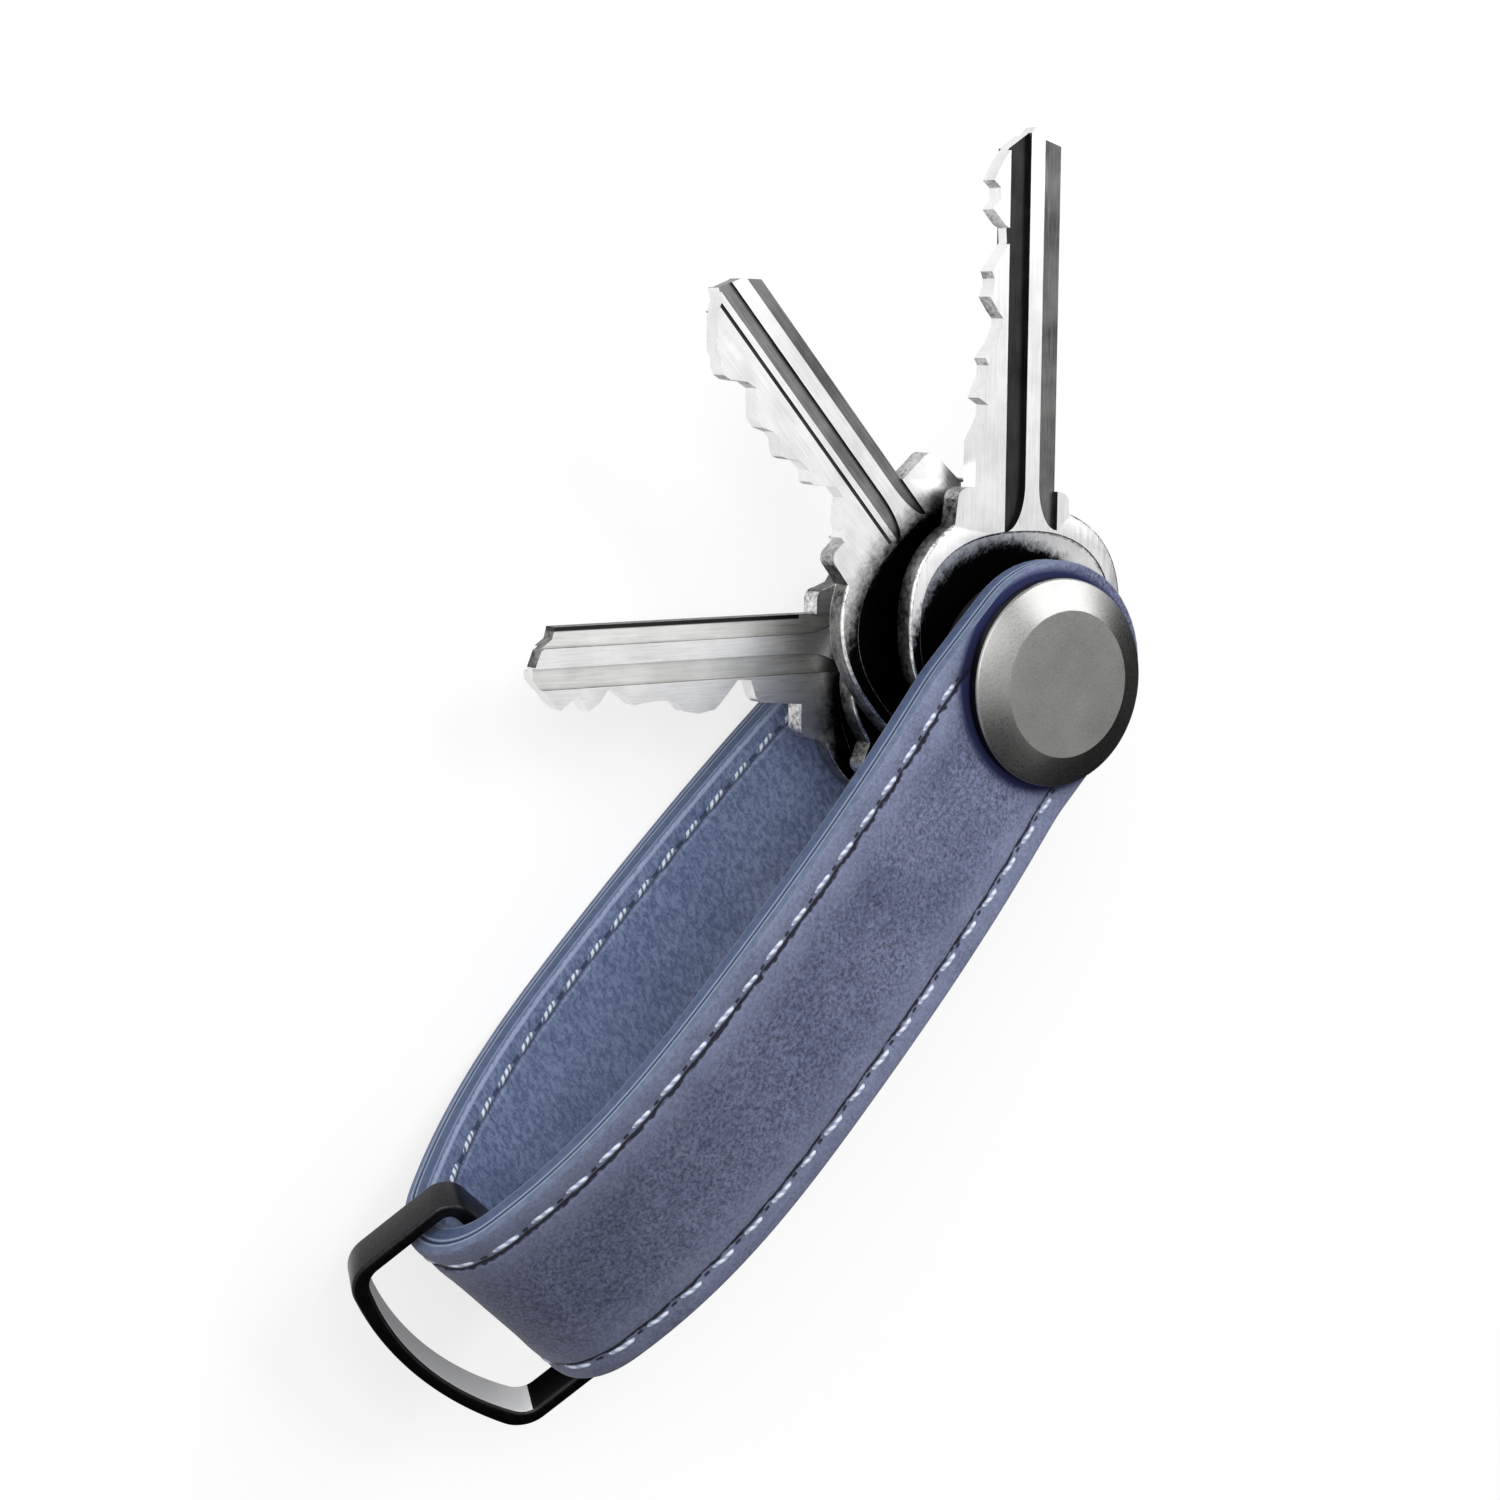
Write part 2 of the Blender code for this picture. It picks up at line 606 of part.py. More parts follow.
# Ring: a flat strip bent into a D round the bar that lies in the fold.
bar_reach = fold_radius - math.hypot(ring_strip_width, ring_strip_thickness) / 2 - ring_play
bar_x = -fold_reach + fold_radius - math.sqrt(bar_reach ** 2 - ring_bar_level ** 2)
ring_pivot = bpy.data.objects.new("ring_pivot", None)
ring_pivot.location = (bar_x, 0.0, ring_bar_level)
ring_pivot.rotation_euler = (0.0, ring_tilt, 0.0)
ring_pivot.parent = stack_axis
parts.objects.link(ring_pivot)


def ring_outline(inset):
    """The D, drawn with its far side towards -X and the bar across the origin."""
    half = strap_half + ring_side_gap + ring_strip_thickness - inset
    near = ring_strip_thickness / 2 - inset
    far = -ring_reach + inset
    corner = ring_corner - inset
    bar_corner = ring_bar_corner - inset
    shoulder = far + ring_sagitta
    bow_radius = (half ** 2 + ring_sagitta ** 2) / (2 * ring_sagitta)
    lean = math.asin((half - corner) / (bow_radius - corner))
    bow_centre = far + bow_radius
    corner_x = bow_centre - (bow_radius - corner) * math.cos(lean)
    points = arc((near - bar_corner, half - bar_corner), bar_corner, 0.0, math.pi / 2, 6)
    points += arc((corner_x, half - corner), corner, math.pi / 2, math.pi - lean, 8)
    points += arc((bow_centre, 0.0), bow_radius, math.pi - lean, math.pi + lean, 16)[1:-1]
    points += arc((corner_x, corner - half), corner, math.pi + lean, 3 * math.pi / 2, 8)
    points += arc((near - bar_corner, bar_corner - half), bar_corner,
                  3 * math.pi / 2, 2 * math.pi, 6)
    return points


ring = add_object("d_ring", flat_solid("d_ring", [ring_outline(0.0),
                                                  ring_outline(ring_strip_thickness)],
                                       ring_strip_width), gunmetal, parent=ring_pivot)
ring_bevel = ring.modifiers.new("edge", "BEVEL")
ring_bevel.width = ring_edge
ring_bevel.segments = 1
ring_bevel.limit_method = "ANGLE"
ring_bevel.angle_limit = edge_angle
for piece in parts.objects:
    if piece.type == "MESH":
        smooth(piece.data)
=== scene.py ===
import math

import bmesh
import bpy
import numpy as np
from mathutils import Matrix, Vector, noise


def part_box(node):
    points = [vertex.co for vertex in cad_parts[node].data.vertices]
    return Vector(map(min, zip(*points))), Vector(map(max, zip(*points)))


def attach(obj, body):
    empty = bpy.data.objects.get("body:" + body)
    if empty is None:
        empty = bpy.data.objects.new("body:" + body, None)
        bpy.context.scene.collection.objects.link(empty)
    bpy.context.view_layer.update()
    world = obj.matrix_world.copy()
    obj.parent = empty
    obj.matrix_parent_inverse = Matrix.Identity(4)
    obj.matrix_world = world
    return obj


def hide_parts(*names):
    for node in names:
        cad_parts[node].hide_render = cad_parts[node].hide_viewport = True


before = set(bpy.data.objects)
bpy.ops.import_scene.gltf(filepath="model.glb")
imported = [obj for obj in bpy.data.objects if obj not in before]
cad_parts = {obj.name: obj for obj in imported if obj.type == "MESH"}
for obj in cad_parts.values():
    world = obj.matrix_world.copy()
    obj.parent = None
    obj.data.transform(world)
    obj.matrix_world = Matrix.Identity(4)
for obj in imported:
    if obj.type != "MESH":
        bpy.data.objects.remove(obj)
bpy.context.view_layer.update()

MM = 0.001

# Camera. The organizer lies on its rear cap, and the camera looks down on the keys' side
# from a hand's length above, turned so that the strap runs from the bottom left of the
# picture to the top right.
camera_place = Vector((-94.9, 142.3, 229.1)) * MM
picture_right = Vector((0.5877, -0.5926, 0.5508))
picture_up = Vector((0.7594, 0.6390, -0.1227))
picture_back = picture_right.cross(picture_up).normalized()
picture_up = picture_back.cross(picture_right).normalized()
camera_data = bpy.data.cameras.new("camera")
camera_data.sensor_width = 36.0
camera_data.lens = 69.9
camera_data.clip_start = 10 * MM
camera = bpy.data.objects.new("camera", camera_data)
bpy.context.scene.collection.objects.link(camera)
turn = Matrix((picture_right.normalized(), picture_up, picture_back)).transposed()
camera.matrix_world = Matrix.Translation(camera_place) @ turn.to_4x4()
bpy.context.scene.camera = camera
bpy.context.scene.view_settings.view_transform = "Standard"


# Studio. Two soft boxes stand above white paper, one on the keys' side and one at the
# screw's end. A curved black card on the far side, with a flat foot in front of it, keeps
# the slopes that face it dark, as bright metal is usually lit.
def linear(colour):
    """An sRGB hex colour as the linear values that Blender's sockets hold."""
    parts = [int(colour[i:i + 2], 16) / 255 for i in (1, 3, 5)]
    return [c / 12.92 if c <= 0.04045 else ((c + 0.055) / 1.055) ** 2.4 for c in parts] + [1.0]


def feed(tree, node, inputs):
    """Sets or links a node's inputs, by name or number. A node given as a value stands for
    its first output in use."""
    for socket, value in inputs.items():
        if isinstance(value, bpy.types.Node):
            value = next(output for output in value.outputs if output.enabled)
        if isinstance(value, bpy.types.NodeSocket):
            tree.links.new(value, node.inputs[socket])
        else:
            node.inputs[socket].default_value = value


def add_node(tree, kind, inputs=None, **settings):
    """Adds a node with its settings, and sets or links its inputs."""
    made = tree.nodes.new("ShaderNode" + kind)
    for name, value in settings.items():
        setattr(made, name, value)
    feed(tree, made, inputs or {})
    return made


def seen_white(tree):
    """1 for camera, glossy and transmission rays, 0 for the rest."""
    rays = add_node(tree, "LightPath").outputs
    pair = add_node(tree, "Math", {0: rays["Is Camera Ray"], 1: rays["Is Glossy Ray"]},
                    operation="MAXIMUM")
    return add_node(tree, "Math", {0: pair, 1: rays["Is Transmission Ray"]}, operation="MAXIMUM")


ambient = 0.42
world = bpy.data.worlds.new("white studio")
bpy.context.scene.world = world
world.use_nodes = True
tree = world.node_tree
tree.nodes.clear()
shown = add_node(tree, "Mix", {"Factor": seen_white(tree), "A": ambient, "B": 1.0})
backdrop = add_node(tree, "Background", {"Strength": shown})
add_node(tree, "OutputWorld", {"Surface": backdrop})

work_centre = Vector((-0.022, 0.014, 0.0135))
lamp_distance = 0.9
for name, way, across, radiance in (
        ("near soft box", Vector((-0.08, 0.72, 0.69)), 0.90, 2.3),
        ("screw end soft box", Vector((0.80, -0.02, 0.60)), 0.66, 3.4)):
    lamp = bpy.data.lights.new(name, "AREA")
    lamp.shape = "SQUARE"
    lamp.size = across
    lamp.energy = radiance * math.pi * across ** 2
    holder = bpy.data.objects.new(name, lamp)
    holder.matrix_world = (Matrix.Translation(work_centre + way.normalized() * lamp_distance)
                           @ way.to_track_quat("Z", "Y").to_matrix().to_4x4())
    bpy.context.scene.collection.objects.link(holder)

felt = bpy.data.materials.new("black felt")
felt.use_nodes = True
feed(felt.node_tree, felt.node_tree.nodes["Principled BSDF"],
     {"Base Color": linear("#1c1c1c"), "Roughness": 1.0})
card_reach = 0.5
card_height = 0.42
foot_reach = 0.05
card_start, card_end = math.radians(-170), math.radians(-30)
rise_start, rise_slope = 0.3, 3.6        # the card stands taller towards its left end
for name, stem in (("black card", ((card_reach, 0.0), (card_reach, card_height))),
                   ("black card's foot", ((foot_reach, MM), (card_reach, MM)))):
    card_mesh = bpy.data.meshes.new(name)
    card_shape = bmesh.new()
    ends = [card_shape.verts.new((reach * math.cos(card_start), reach * math.sin(card_start), z))
            for reach, z in stem]
    bmesh.ops.spin(card_shape, geom=ends + [card_shape.edges.new(ends)], axis=(0, 0, 1),
                   cent=(0, 0, 0), angle=card_end - card_start, steps=32)
    for vert in card_shape.verts:
        vert.co.z *= 1.0 + max(0.0, -rise_start - vert.co.x / card_reach) * rise_slope
    bmesh.ops.translate(card_shape, vec=work_centre.xy.to_3d(), verts=card_shape.verts)
    card_shape.to_mesh(card_mesh)
    card_shape.free()
    card = bpy.data.objects.new(name, card_mesh)
    bpy.context.scene.collection.objects.link(card)
    card.visible_camera = False
    if stem[0][0] == foot_reach:
        card.visible_diffuse = False
        card.visible_shadow = False
    card_mesh.materials.append(felt)

floor_mesh = bpy.data.meshes.new("floor")
slab = bmesh.new()
bmesh.ops.create_grid(slab, x_segments=2, y_segments=2, size=1500 * MM)
slab.to_mesh(floor_mesh)
slab.free()
floor = bpy.data.objects.new("floor", floor_mesh)
bpy.context.scene.collection.objects.link(floor)
floor_material = bpy.data.materials.new("white paper")
floor_material.use_nodes = True
tree = floor_material.node_tree
tree.nodes.clear()
paper = add_node(tree, "BsdfDiffuse", {"Color": linear("#e4e4e4")})
thin = add_node(tree, "BsdfDiffuse", {"Color": linear("#a0a0a0")})
lift = add_node(tree, "Emission", {"Color": linear("#ffffff"), "Strength": 0.71})
both = add_node(tree, "AddShader", {0: thin, 1: lift})
chosen = add_node(tree, "MixShader", {0: seen_white(tree), 1: paper, 2: both})
add_node(tree, "OutputMaterial", {"Surface": chosen})
floor_mesh.materials.append(floor_material)


# Strap leathers. The organizer's body is a strip of nubuck with round ends, glued back to
# back on a smooth grained lining and folded once. Its cut edges are rounded and painted,
# and the two seams pull a crease into both faces.
outer_low, outer_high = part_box("leather_outer")
mid_height = (outer_low.z + outer_high.z) / 2
strap_half = outer_high.y
strap_end = outer_high.x
strap_thickness = 3.0 * MM
clamp_level = 7.75 * MM
clamp_reach = 7.0 * MM
bulge_reach = 43.0 * MM
bulge_level = mid_height - strap_thickness
fold_reach = -outer_low.x - strap_thickness
fold_radius = 5.85 * MM
fold_sweep = math.radians(60)
clamp_handle_share = 0.11
bulge_handle_share = 0.67
fold_handle_share = 0.36
flap_steps = 48
fold_steps = 28


def bezier(start, first, second, end, steps):
    """Points of a cubic curve, without its start."""
    points = []
    for i in range(1, steps + 1):
        t = i / steps
        s = 1.0 - t
        points.append(s ** 3 * start + 3 * s * s * t * first + 3 * s * t * t * second + t ** 3 * end)
    return points


def strap_line():
    """The lining's face in x and level, from the front end round the fold to the rear."""
    centre_x = -fold_reach + fold_radius
    clamp = Vector((-clamp_reach, clamp_level))
    bulge = Vector((-bulge_reach, bulge_level))
    fold = Vector((centre_x - fold_radius * math.cos(fold_sweep), fold_radius * math.sin(fold_sweep)))
    into_fold = Vector((-math.sin(fold_sweep), -math.cos(fold_sweep)))
    span = bulge_reach - clamp_reach
    fold_span = (fold - bulge).length * fold_handle_share
    along = Vector((-1.0, 0.0))
    points = [Vector((strap_end, clamp_level)), clamp]
    points += bezier(clamp, clamp + along * span * clamp_handle_share,
                     bulge - along * span * bulge_handle_share, bulge, flap_steps)
    points += bezier(bulge, bulge + along * fold_span, fold - into_fold * fold_span, fold, flap_steps)
    for i in range(1, fold_steps + 1):
        bend = fold_sweep * (1.0 - i / fold_steps)
        points.append(Vector((centre_x - fold_radius * math.cos(bend), fold_radius * math.sin(bend))))
    return points + [Vector((p.x, -p.y)) for p in reversed(points[:-1])]


line = np.array([tuple(p) for p in strap_line()])
line_run = np.concatenate(([0.0], np.cumsum(np.linalg.norm(np.diff(line, axis=0), axis=1))))
line_along = np.gradient(line, line_run, axis=0)
line_along /= np.linalg.norm(line_along, axis=1)[:, None]
strap_length = float(line_run[-1])


def on_strap(run, side, height):
    """A point from its run along the lining, its place across the strap, and its height
    outside the lining's face."""
    x, level = (np.interp(run, line_run, line[:, i]) for i in (0, 1))
    out_x = np.interp(run, line_run, line_along[:, 1])
    out_level = -np.interp(run, line_run, line_along[:, 0])
    return Vector((x + height * out_x, side, mid_height + level + height * out_level))


def piece_from(name, shape, materials, body, nodes=()):
    """Makes the finished piece of a bmesh: its materials, the body that it rides on, and the
    frame's nodes that it stands for."""
    mesh = bpy.data.meshes.new(name)
    shape.to_mesh(mesh)
    shape.free()
    mesh.shade_smooth()
    mesh.set_sharp_from_angle(angle=math.radians(40))
    piece = bpy.data.objects.new(name, mesh)
    bpy.context.scene.collection.objects.link(piece)
    for material in materials:
        mesh.materials.append(material)
    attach(piece, body)
    if nodes:
        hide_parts(*nodes)
    return piece


most_finishes = 7


def carve(shape, cutter):
    """Cuts one bmesh with another, and gives the new faces the cutter's material."""
    holders = []
    for name, source in (("carved", shape), ("cutter", cutter)):
        mesh = bpy.data.meshes.new(name)
        source.to_mesh(mesh)
        source.free()
        for i in range(most_finishes):
            mesh.materials.append(None)
        holder = bpy.data.objects.new(name, mesh)
        bpy.context.scene.collection.objects.link(holder)
        holders.append(holder)
    cut = holders[0].modifiers.new("cut", "BOOLEAN")
    cut.operation = "DIFFERENCE"
    cut.solver = "EXACT"
    cut.object = holders[1]
    graph = bpy.context.evaluated_depsgraph_get()
    result = bmesh.new()
    result.from_mesh(holders[0].evaluated_get(graph).to_mesh())
    for holder in holders:
        bpy.data.objects.remove(holder, do_unlink=True)
    return result


def rod(radius, low, high, steps=48):
    """A plain cylinder about the screw's axis."""
    shape = bmesh.new()
    bmesh.ops.create_cone(shape, cap_ends=True, segments=steps, radius1=radius,
                          radius2=radius, depth=high - low,
                          matrix=Matrix.Translation((0.0, 0.0, (low + high) / 2)))
    return shape


seam_inset = 2.1 * MM
crease_inset = 2.5 * MM
stitch_pitch = 3.6 * MM
edge_rounding = 0.45 * MM
paint_width = 0.2 * MM
swell_length = 9.0 * MM
swell_width = 7.0 * MM
swell_start = 1.5 * MM
strip_weld = 0.002 * MM
column_spacing = 0.36 * MM
end_columns = 26
barrel_hole = 2.8 * MM


def edge_columns():
    """The places round the strip's edge: the centre that each one looks away from, and its
    direction, both in run and side."""
    front, rear = strap_half, strap_length - strap_half
    count = round((rear - front) / column_spacing)
    runs = [front + (rear - front) * i / count for i in range(count + 1)]
    columns = [(run, 0.0, 1.0) for run in runs]
    for i in range(1, end_columns):
        angle = math.pi * i / end_columns
        columns.append((rear, math.sin(angle), math.cos(angle)))
    columns += [(run, 0.0, -1.0) for run in reversed(runs)]
    for i in range(1, end_columns):
        angle = math.pi * i / end_columns
        columns.append((front, -math.sin(angle), -math.cos(angle)))
    return columns


def leather_strip(rings, seam_dip, face_sign, sag):
    """A strip with round ends from rings that lie a distance inside its edge, at a height.
    The stitches pull the crease down at each hole, on the side that face_sign names."""
    columns = edge_columns()
    shape = bmesh.new()
    layer = shape.loops.layers.uv.new("strap")
    wall_layer = shape.loops.layers.uv.new("edge")
    bmesh.ops.create_grid(shape, x_segments=len(columns), y_segments=len(rings) - 1, size=0.5)
    places = {}
    for vert in shape.verts:
        centre, run_way, side_way = columns[round((vert.co.x + 0.5) * len(columns)) % len(columns)]
        inset, height, seam_share = rings[round((vert.co.y + 0.5) * (len(rings) - 1))]
        reach = strap_half - inset
        run, side = centre + reach * run_way, reach * side_way
        pull = seam_share * seam_dip * (1.0 + 0.35 * math.cos(2 * math.pi * run / stitch_pitch))
        swell = sag * noise.noise(Vector((run / swell_length, side / swell_width, 3.0 * face_sign)))
        places[vert] = ((run, side), (height, inset))
        if inset > edge_rounding:
            height += face_sign * swell * min(1.0, (inset - edge_rounding) / swell_start)
        vert.co = on_strap(run, side, height - face_sign * pull)
    for face in shape.faces:
        for loop in face.loops:
            loop[layer].uv, loop[wall_layer].uv = places[loop.vert]
    bmesh.ops.remove_doubles(shape, verts=shape.verts, dist=strip_weld)
    bmesh.ops.recalc_face_normals(shape, faces=shape.faces)
    return shape


bed_width = 0.42 * MM
crease_width = 0.15 * MM


def seam_crease(inset):
    """How much of the seam's dip reaches a ring: a shallow bed for the thread and a sharp
    crease on its inner side, where the leather folds in."""
    bed = math.exp(-((inset - seam_inset) / bed_width) ** 2)
    crease = math.exp(-((inset - crease_inset) / crease_width) ** 2)
    return 0.45 * bed + 0.75 * crease


ring_insets = [v * MM for v in (0.45, 0.7, 0.95, 1.2, 1.4, 1.6, 1.75, 1.9, 2.02, 2.14, 2.24, 2.32,
                                2.38, 2.44, 2.5, 2.58, 2.7, 2.85, 3.1, 3.6, 4.3, 5.2, 6.4, 8.0)]
quarter = [math.pi / 2 * i / 4 for i in range(5)]
outer_bottom = 1.81 * MM
lining_top = 1.77 * MM
inner_rounding = 0.16 * MM
back_inset = 3.0 * MM
edge_top = strap_thickness - 0.1 * MM
face_top = strap_thickness - 0.12 * MM
welt_height, welt_inset, welt_width = 0.07 * MM, 1.0 * MM, 0.5 * MM
pad_height, pad_inset, pad_width = 0.09 * MM, 3.9 * MM, 1.3 * MM
needle_dip = 0.32 * MM
bobbin_dip = 0.18 * MM
leather_sag = 0.05 * MM

outer_rings = [(strap_half, outer_bottom, 0.0), (back_inset, outer_bottom, 0.0)]
outer_rings += [(inner_rounding * (1 - math.sin(a)), outer_bottom + inner_rounding
                 * (1 - math.cos(a)), 0.0) for a in quarter]
outer_rings += [(edge_rounding * (1 - math.cos(a)), edge_top - edge_rounding
                 * (1 - math.sin(a)), 0.0) for a in quarter]
for inset in ring_insets[1:]:
    welt = welt_height * math.exp(-((inset - welt_inset) / welt_width) ** 2)
    pad = pad_height * math.exp(-((inset - pad_inset) / pad_width) ** 2)
    outer_rings.append((inset, face_top + welt + pad, seam_crease(inset)))
outer_rings.append((strap_half, face_top, 0.0))

lining_rings = [(strap_half, lining_top, 0.0), (back_inset, lining_top, 0.0)]
lining_rings += [(inner_rounding * (1 - math.sin(a)), lining_top - inner_rounding
                  * (1 - math.cos(a)), 0.0) for a in quarter]
lining_rings += [(edge_rounding * (1 - math.cos(a)), edge_rounding * (1 - math.sin(a)), 0.0)
                 for a in quarter]
lining_rings += [(inset, 0.0, seam_crease(inset)) for inset in ring_insets[1:]]
lining_rings.append((strap_half, 0.0, 0.0))


def band(tree, value, middle, half_width, soft):
    """1 where the value lies within half a width of the middle, 0 away from it."""
    away = add_node(tree, "Math", {0: value, 1: middle}, operation="SUBTRACT")
    off = add_node(tree, "Math", {0: away}, operation="ABSOLUTE")
    return add_node(tree, "MapRange", {"Value": off, "From Min": half_width + soft,
                                       "From Max": half_width},
                    interpolation_type="SMOOTHSTEP")


def two_tones(tree, value, low, low_colour, high, high_colour):
    """A pattern turned to a colour between two tones."""
    share = add_node(tree, "MapRange", {"Value": value, "From Min": low, "From Max": high})
    return add_node(tree, "Mix", {"Factor": share, "A": linear(low_colour),
                                  "B": linear(high_colour)}, data_type="RGBA")


def tinted(tree, ground, mask, strength, colour):
    """A ground colour with another laid over it, by a mask and its strength."""
    share = add_node(tree, "Math", {0: mask, 1: strength}, operation="MULTIPLY")
    return add_node(tree, "Mix", {"Factor": share, "A": ground, "B": linear(colour)}, data_type="RGBA")


def new_finish(name):
    """A new material, with its nodes, its shader and the object's coordinates."""
    material = bpy.data.materials.new(name)
    material.use_nodes = True
    tree = material.node_tree
    place = add_node(tree, "TexCoord").outputs["Object"]
    return material, tree, tree.nodes["Principled BSDF"], place


def seam_shade(tree, run, across, crease, crease_depth, hole_depth, covered, half_width):
    """How dark a seam is: its crease, and the needle holes between the stitches, each of
    which covers a share of the pitch. Covered and half_width come with a soft edge."""
    pitches = add_node(tree, "Math", {0: run, 1: 1 / stitch_pitch}, operation="MULTIPLY")
    phase = add_node(tree, "Math", {0: pitches}, operation="FRACT")
    bare = add_node(tree, "Math", {0: 1.0, 1: band(tree, phase, 0.5, *covered)}, operation="SUBTRACT")
    row = band(tree, across, strap_half - seam_inset, *half_width)
    hole = add_node(tree, "Math", {0: bare, 1: row}, operation="MULTIPLY")
    parts = [add_node(tree, "Math", {0: mask, 1: depth}, operation="MULTIPLY")
             for mask, depth in ((crease, crease_depth), (hole, hole_depth))]
    return add_node(tree, "Math", {0: parts[0], 1: parts[1]}, operation="MAXIMUM")


# Nubuck: the grain side of cowhide, sanded to a short nap and dyed slate blue. The nap
# scatters light in pale and dark flecks, and the dye is greyer where the strap is rubbed
# beside its seams. Shade is painted in too: the colour darkens towards the fold, and a dark
# blue painted shadow rings the cap.
nubuck, tree, skin, place = new_finish("slate nubuck")
spread = add_node(tree, "SeparateXYZ", {0: add_node(tree, "UVMap", uv_map="strap")})
where = add_node(tree, "SeparateXYZ", {0: place})
blotch = add_node(tree, "TexNoise", {"Vector": place, "Scale": 1 / (7 * MM), "Detail": 5.0,
                                     "Roughness": 0.62})
cloud = two_tones(tree, blotch, 0.32, "#6e7798", 0.70, "#8991b2")
# Real fibres are finer than 0.1 mm. The flecks of nap are drawn at 0.36 mm so that they show.
nap = add_node(tree, "TexNoise", {"Vector": place, "Scale": 1 / (0.36 * MM), "Detail": 4.0,
                                  "Roughness": 0.8})
fleck = two_tones(tree, nap, 0.38, "#67666f", 0.63, "#ffffff")
napped = add_node(tree, "Mix", {"Factor": 0.85, "A": cloud, "B": fleck}, data_type="RGBA",
                  blend_type="MULTIPLY")
beige = add_node(tree, "TexNoise", {"Vector": place, "Scale": 1 / (0.45 * MM), "Detail": 3.0,
                                    "Roughness": 0.7, "Distortion": 0.4})
dusty = add_node(tree, "MapRange", {"Value": beige, "From Min": 0.56, "From Max": 0.74})
napped = tinted(tree, napped, dusty, 0.55, "#8d8c9a")
across = add_node(tree, "Math", {0: spread.outputs["Y"]}, operation="ABSOLUTE")
rubbed = add_node(tree, "MapRange", {"Value": across, "From Min": strap_half - 6.5 * MM,
                                     "From Max": strap_half - 2.6 * MM},
                  interpolation_type="SMOOTHSTEP")
patches = add_node(tree, "TexNoise", {"Vector": place, "Scale": 1 / (5 * MM), "Detail": 4.0})
worn = add_node(tree, "Math", {0: rubbed, 1: patches}, operation="MULTIPLY")
greyed = tinted(tree, napped, worn, 0.9, "#8b93b0")
# Painted shade: the nubuck's colour darkens towards the fold.
fold_shade = add_node(tree, "MapRange", {"Value": where.outputs["X"], "From Min": -15 * MM,
                                      "From Max": -66 * MM, "To Min": 1.0, "To Max": 0.72})
nap_with_painted_shade = add_node(tree, "Mix", {"Factor": 1.0, "A": greyed, "B": fold_shade}, data_type="RGBA",
                  blend_type="MULTIPLY")
# Painted shadow: a dark blue ring on the nap, just round the cap's rim.
level_place = add_node(tree, "Mapping", {"Vector": place, "Scale": (1.0, 1.0, 0.0)})
from_screw = add_node(tree, "VectorMath", {0: level_place}, operation="LENGTH")
cap_shadow = add_node(tree, "MapRange", {"Value": from_screw, "From Min": 10.6 * MM, "From Max": 9.9 * MM})
nap_with_painted_shade = tinted(tree, nap_with_painted_shade, cap_shadow, 1.0, "#1d2450")
# The crease inside each seam and the needle holes are in deep shade, as far as the cap.
wander = add_node(tree, "TexNoise", {"Vector": place, "Scale": 1 / (0.8 * MM), "Detail": 4.0})
wander_reach = 0.60 * MM
strayed = add_node(tree, "Math", {0: wander, 1: wander_reach, 2: across}, operation="MULTIPLY_ADD")
crease = band(tree, strayed, strap_half - crease_inset + wander_reach / 2, 0.11 * MM, 0.14 * MM)
shade = seam_shade(tree, spread.outputs["X"], across, crease, 0.93, 0.9, (0.40, 0.05),
                   (0.08 * MM, 0.12 * MM))
sewn = add_node(tree, "MapRange", {"Value": where.outputs["X"], "From Min": -1 * MM,
                                   "From Max": -2 * MM})
shade = add_node(tree, "Math", {0: shade, 1: sewn}, operation="MULTIPLY")
bump = add_node(tree, "Bump", {"Strength": 0.6, "Distance": 0.06 * MM, "Height": nap})
feed(tree, skin, {"Base Color": tinted(tree, nap_with_painted_shade, shade, 1.0, "#0c0e1a"), "Normal": bump,
                  "Roughness": 0.85, "Specular IOR Level": 0.25, "Sheen Weight": 0.2,
                  "Sheen Roughness": 0.45})

# Lining: full-grain leather with a thin wax finish. Its fine grain runs across the strap
# in short strokes, about 0.4 mm wide and 0.8 mm long, and breaks up the soft gloss.
grain, tree, skin, place = new_finish("full-grain lining")
spread = add_node(tree, "SeparateXYZ", {0: add_node(tree, "UVMap", uv_map="strap")})
blotch = add_node(tree, "TexNoise", {"Vector": place, "Scale": 1 / (10 * MM), "Detail": 3.0})
cloud = two_tones(tree, blotch, 0.35, "#8090b3", 0.70, "#929fc0")
leaning = add_node(tree, "Mapping", {"Vector": place, "Rotation": (0.0, 0.0, math.radians(-74))})
drawn_out = add_node(tree, "Mapping", {"Vector": leaning, "Scale": (0.5, 1.0, 1.0)})
strokes = add_node(tree, "TexNoise", {"Vector": drawn_out, "Scale": 1 / (0.42 * MM),
                                      "Detail": 3.0, "Roughness": 0.6, "Distortion": 0.5})
pores = add_node(tree, "TexNoise", {"Vector": place, "Scale": 1 / (0.24 * MM), "Detail": 2.0})
relief = add_node(tree, "Math", {0: pores, 1: 0.45, 2: strokes}, operation="MULTIPLY_ADD")
shaded = two_tones(tree, relief, 0.60, "#b9bbc6", 0.86, "#ffffff")
grained = add_node(tree, "Mix", {"Factor": 1.0, "A": cloud, "B": shaded}, data_type="RGBA",
                   blend_type="MULTIPLY")
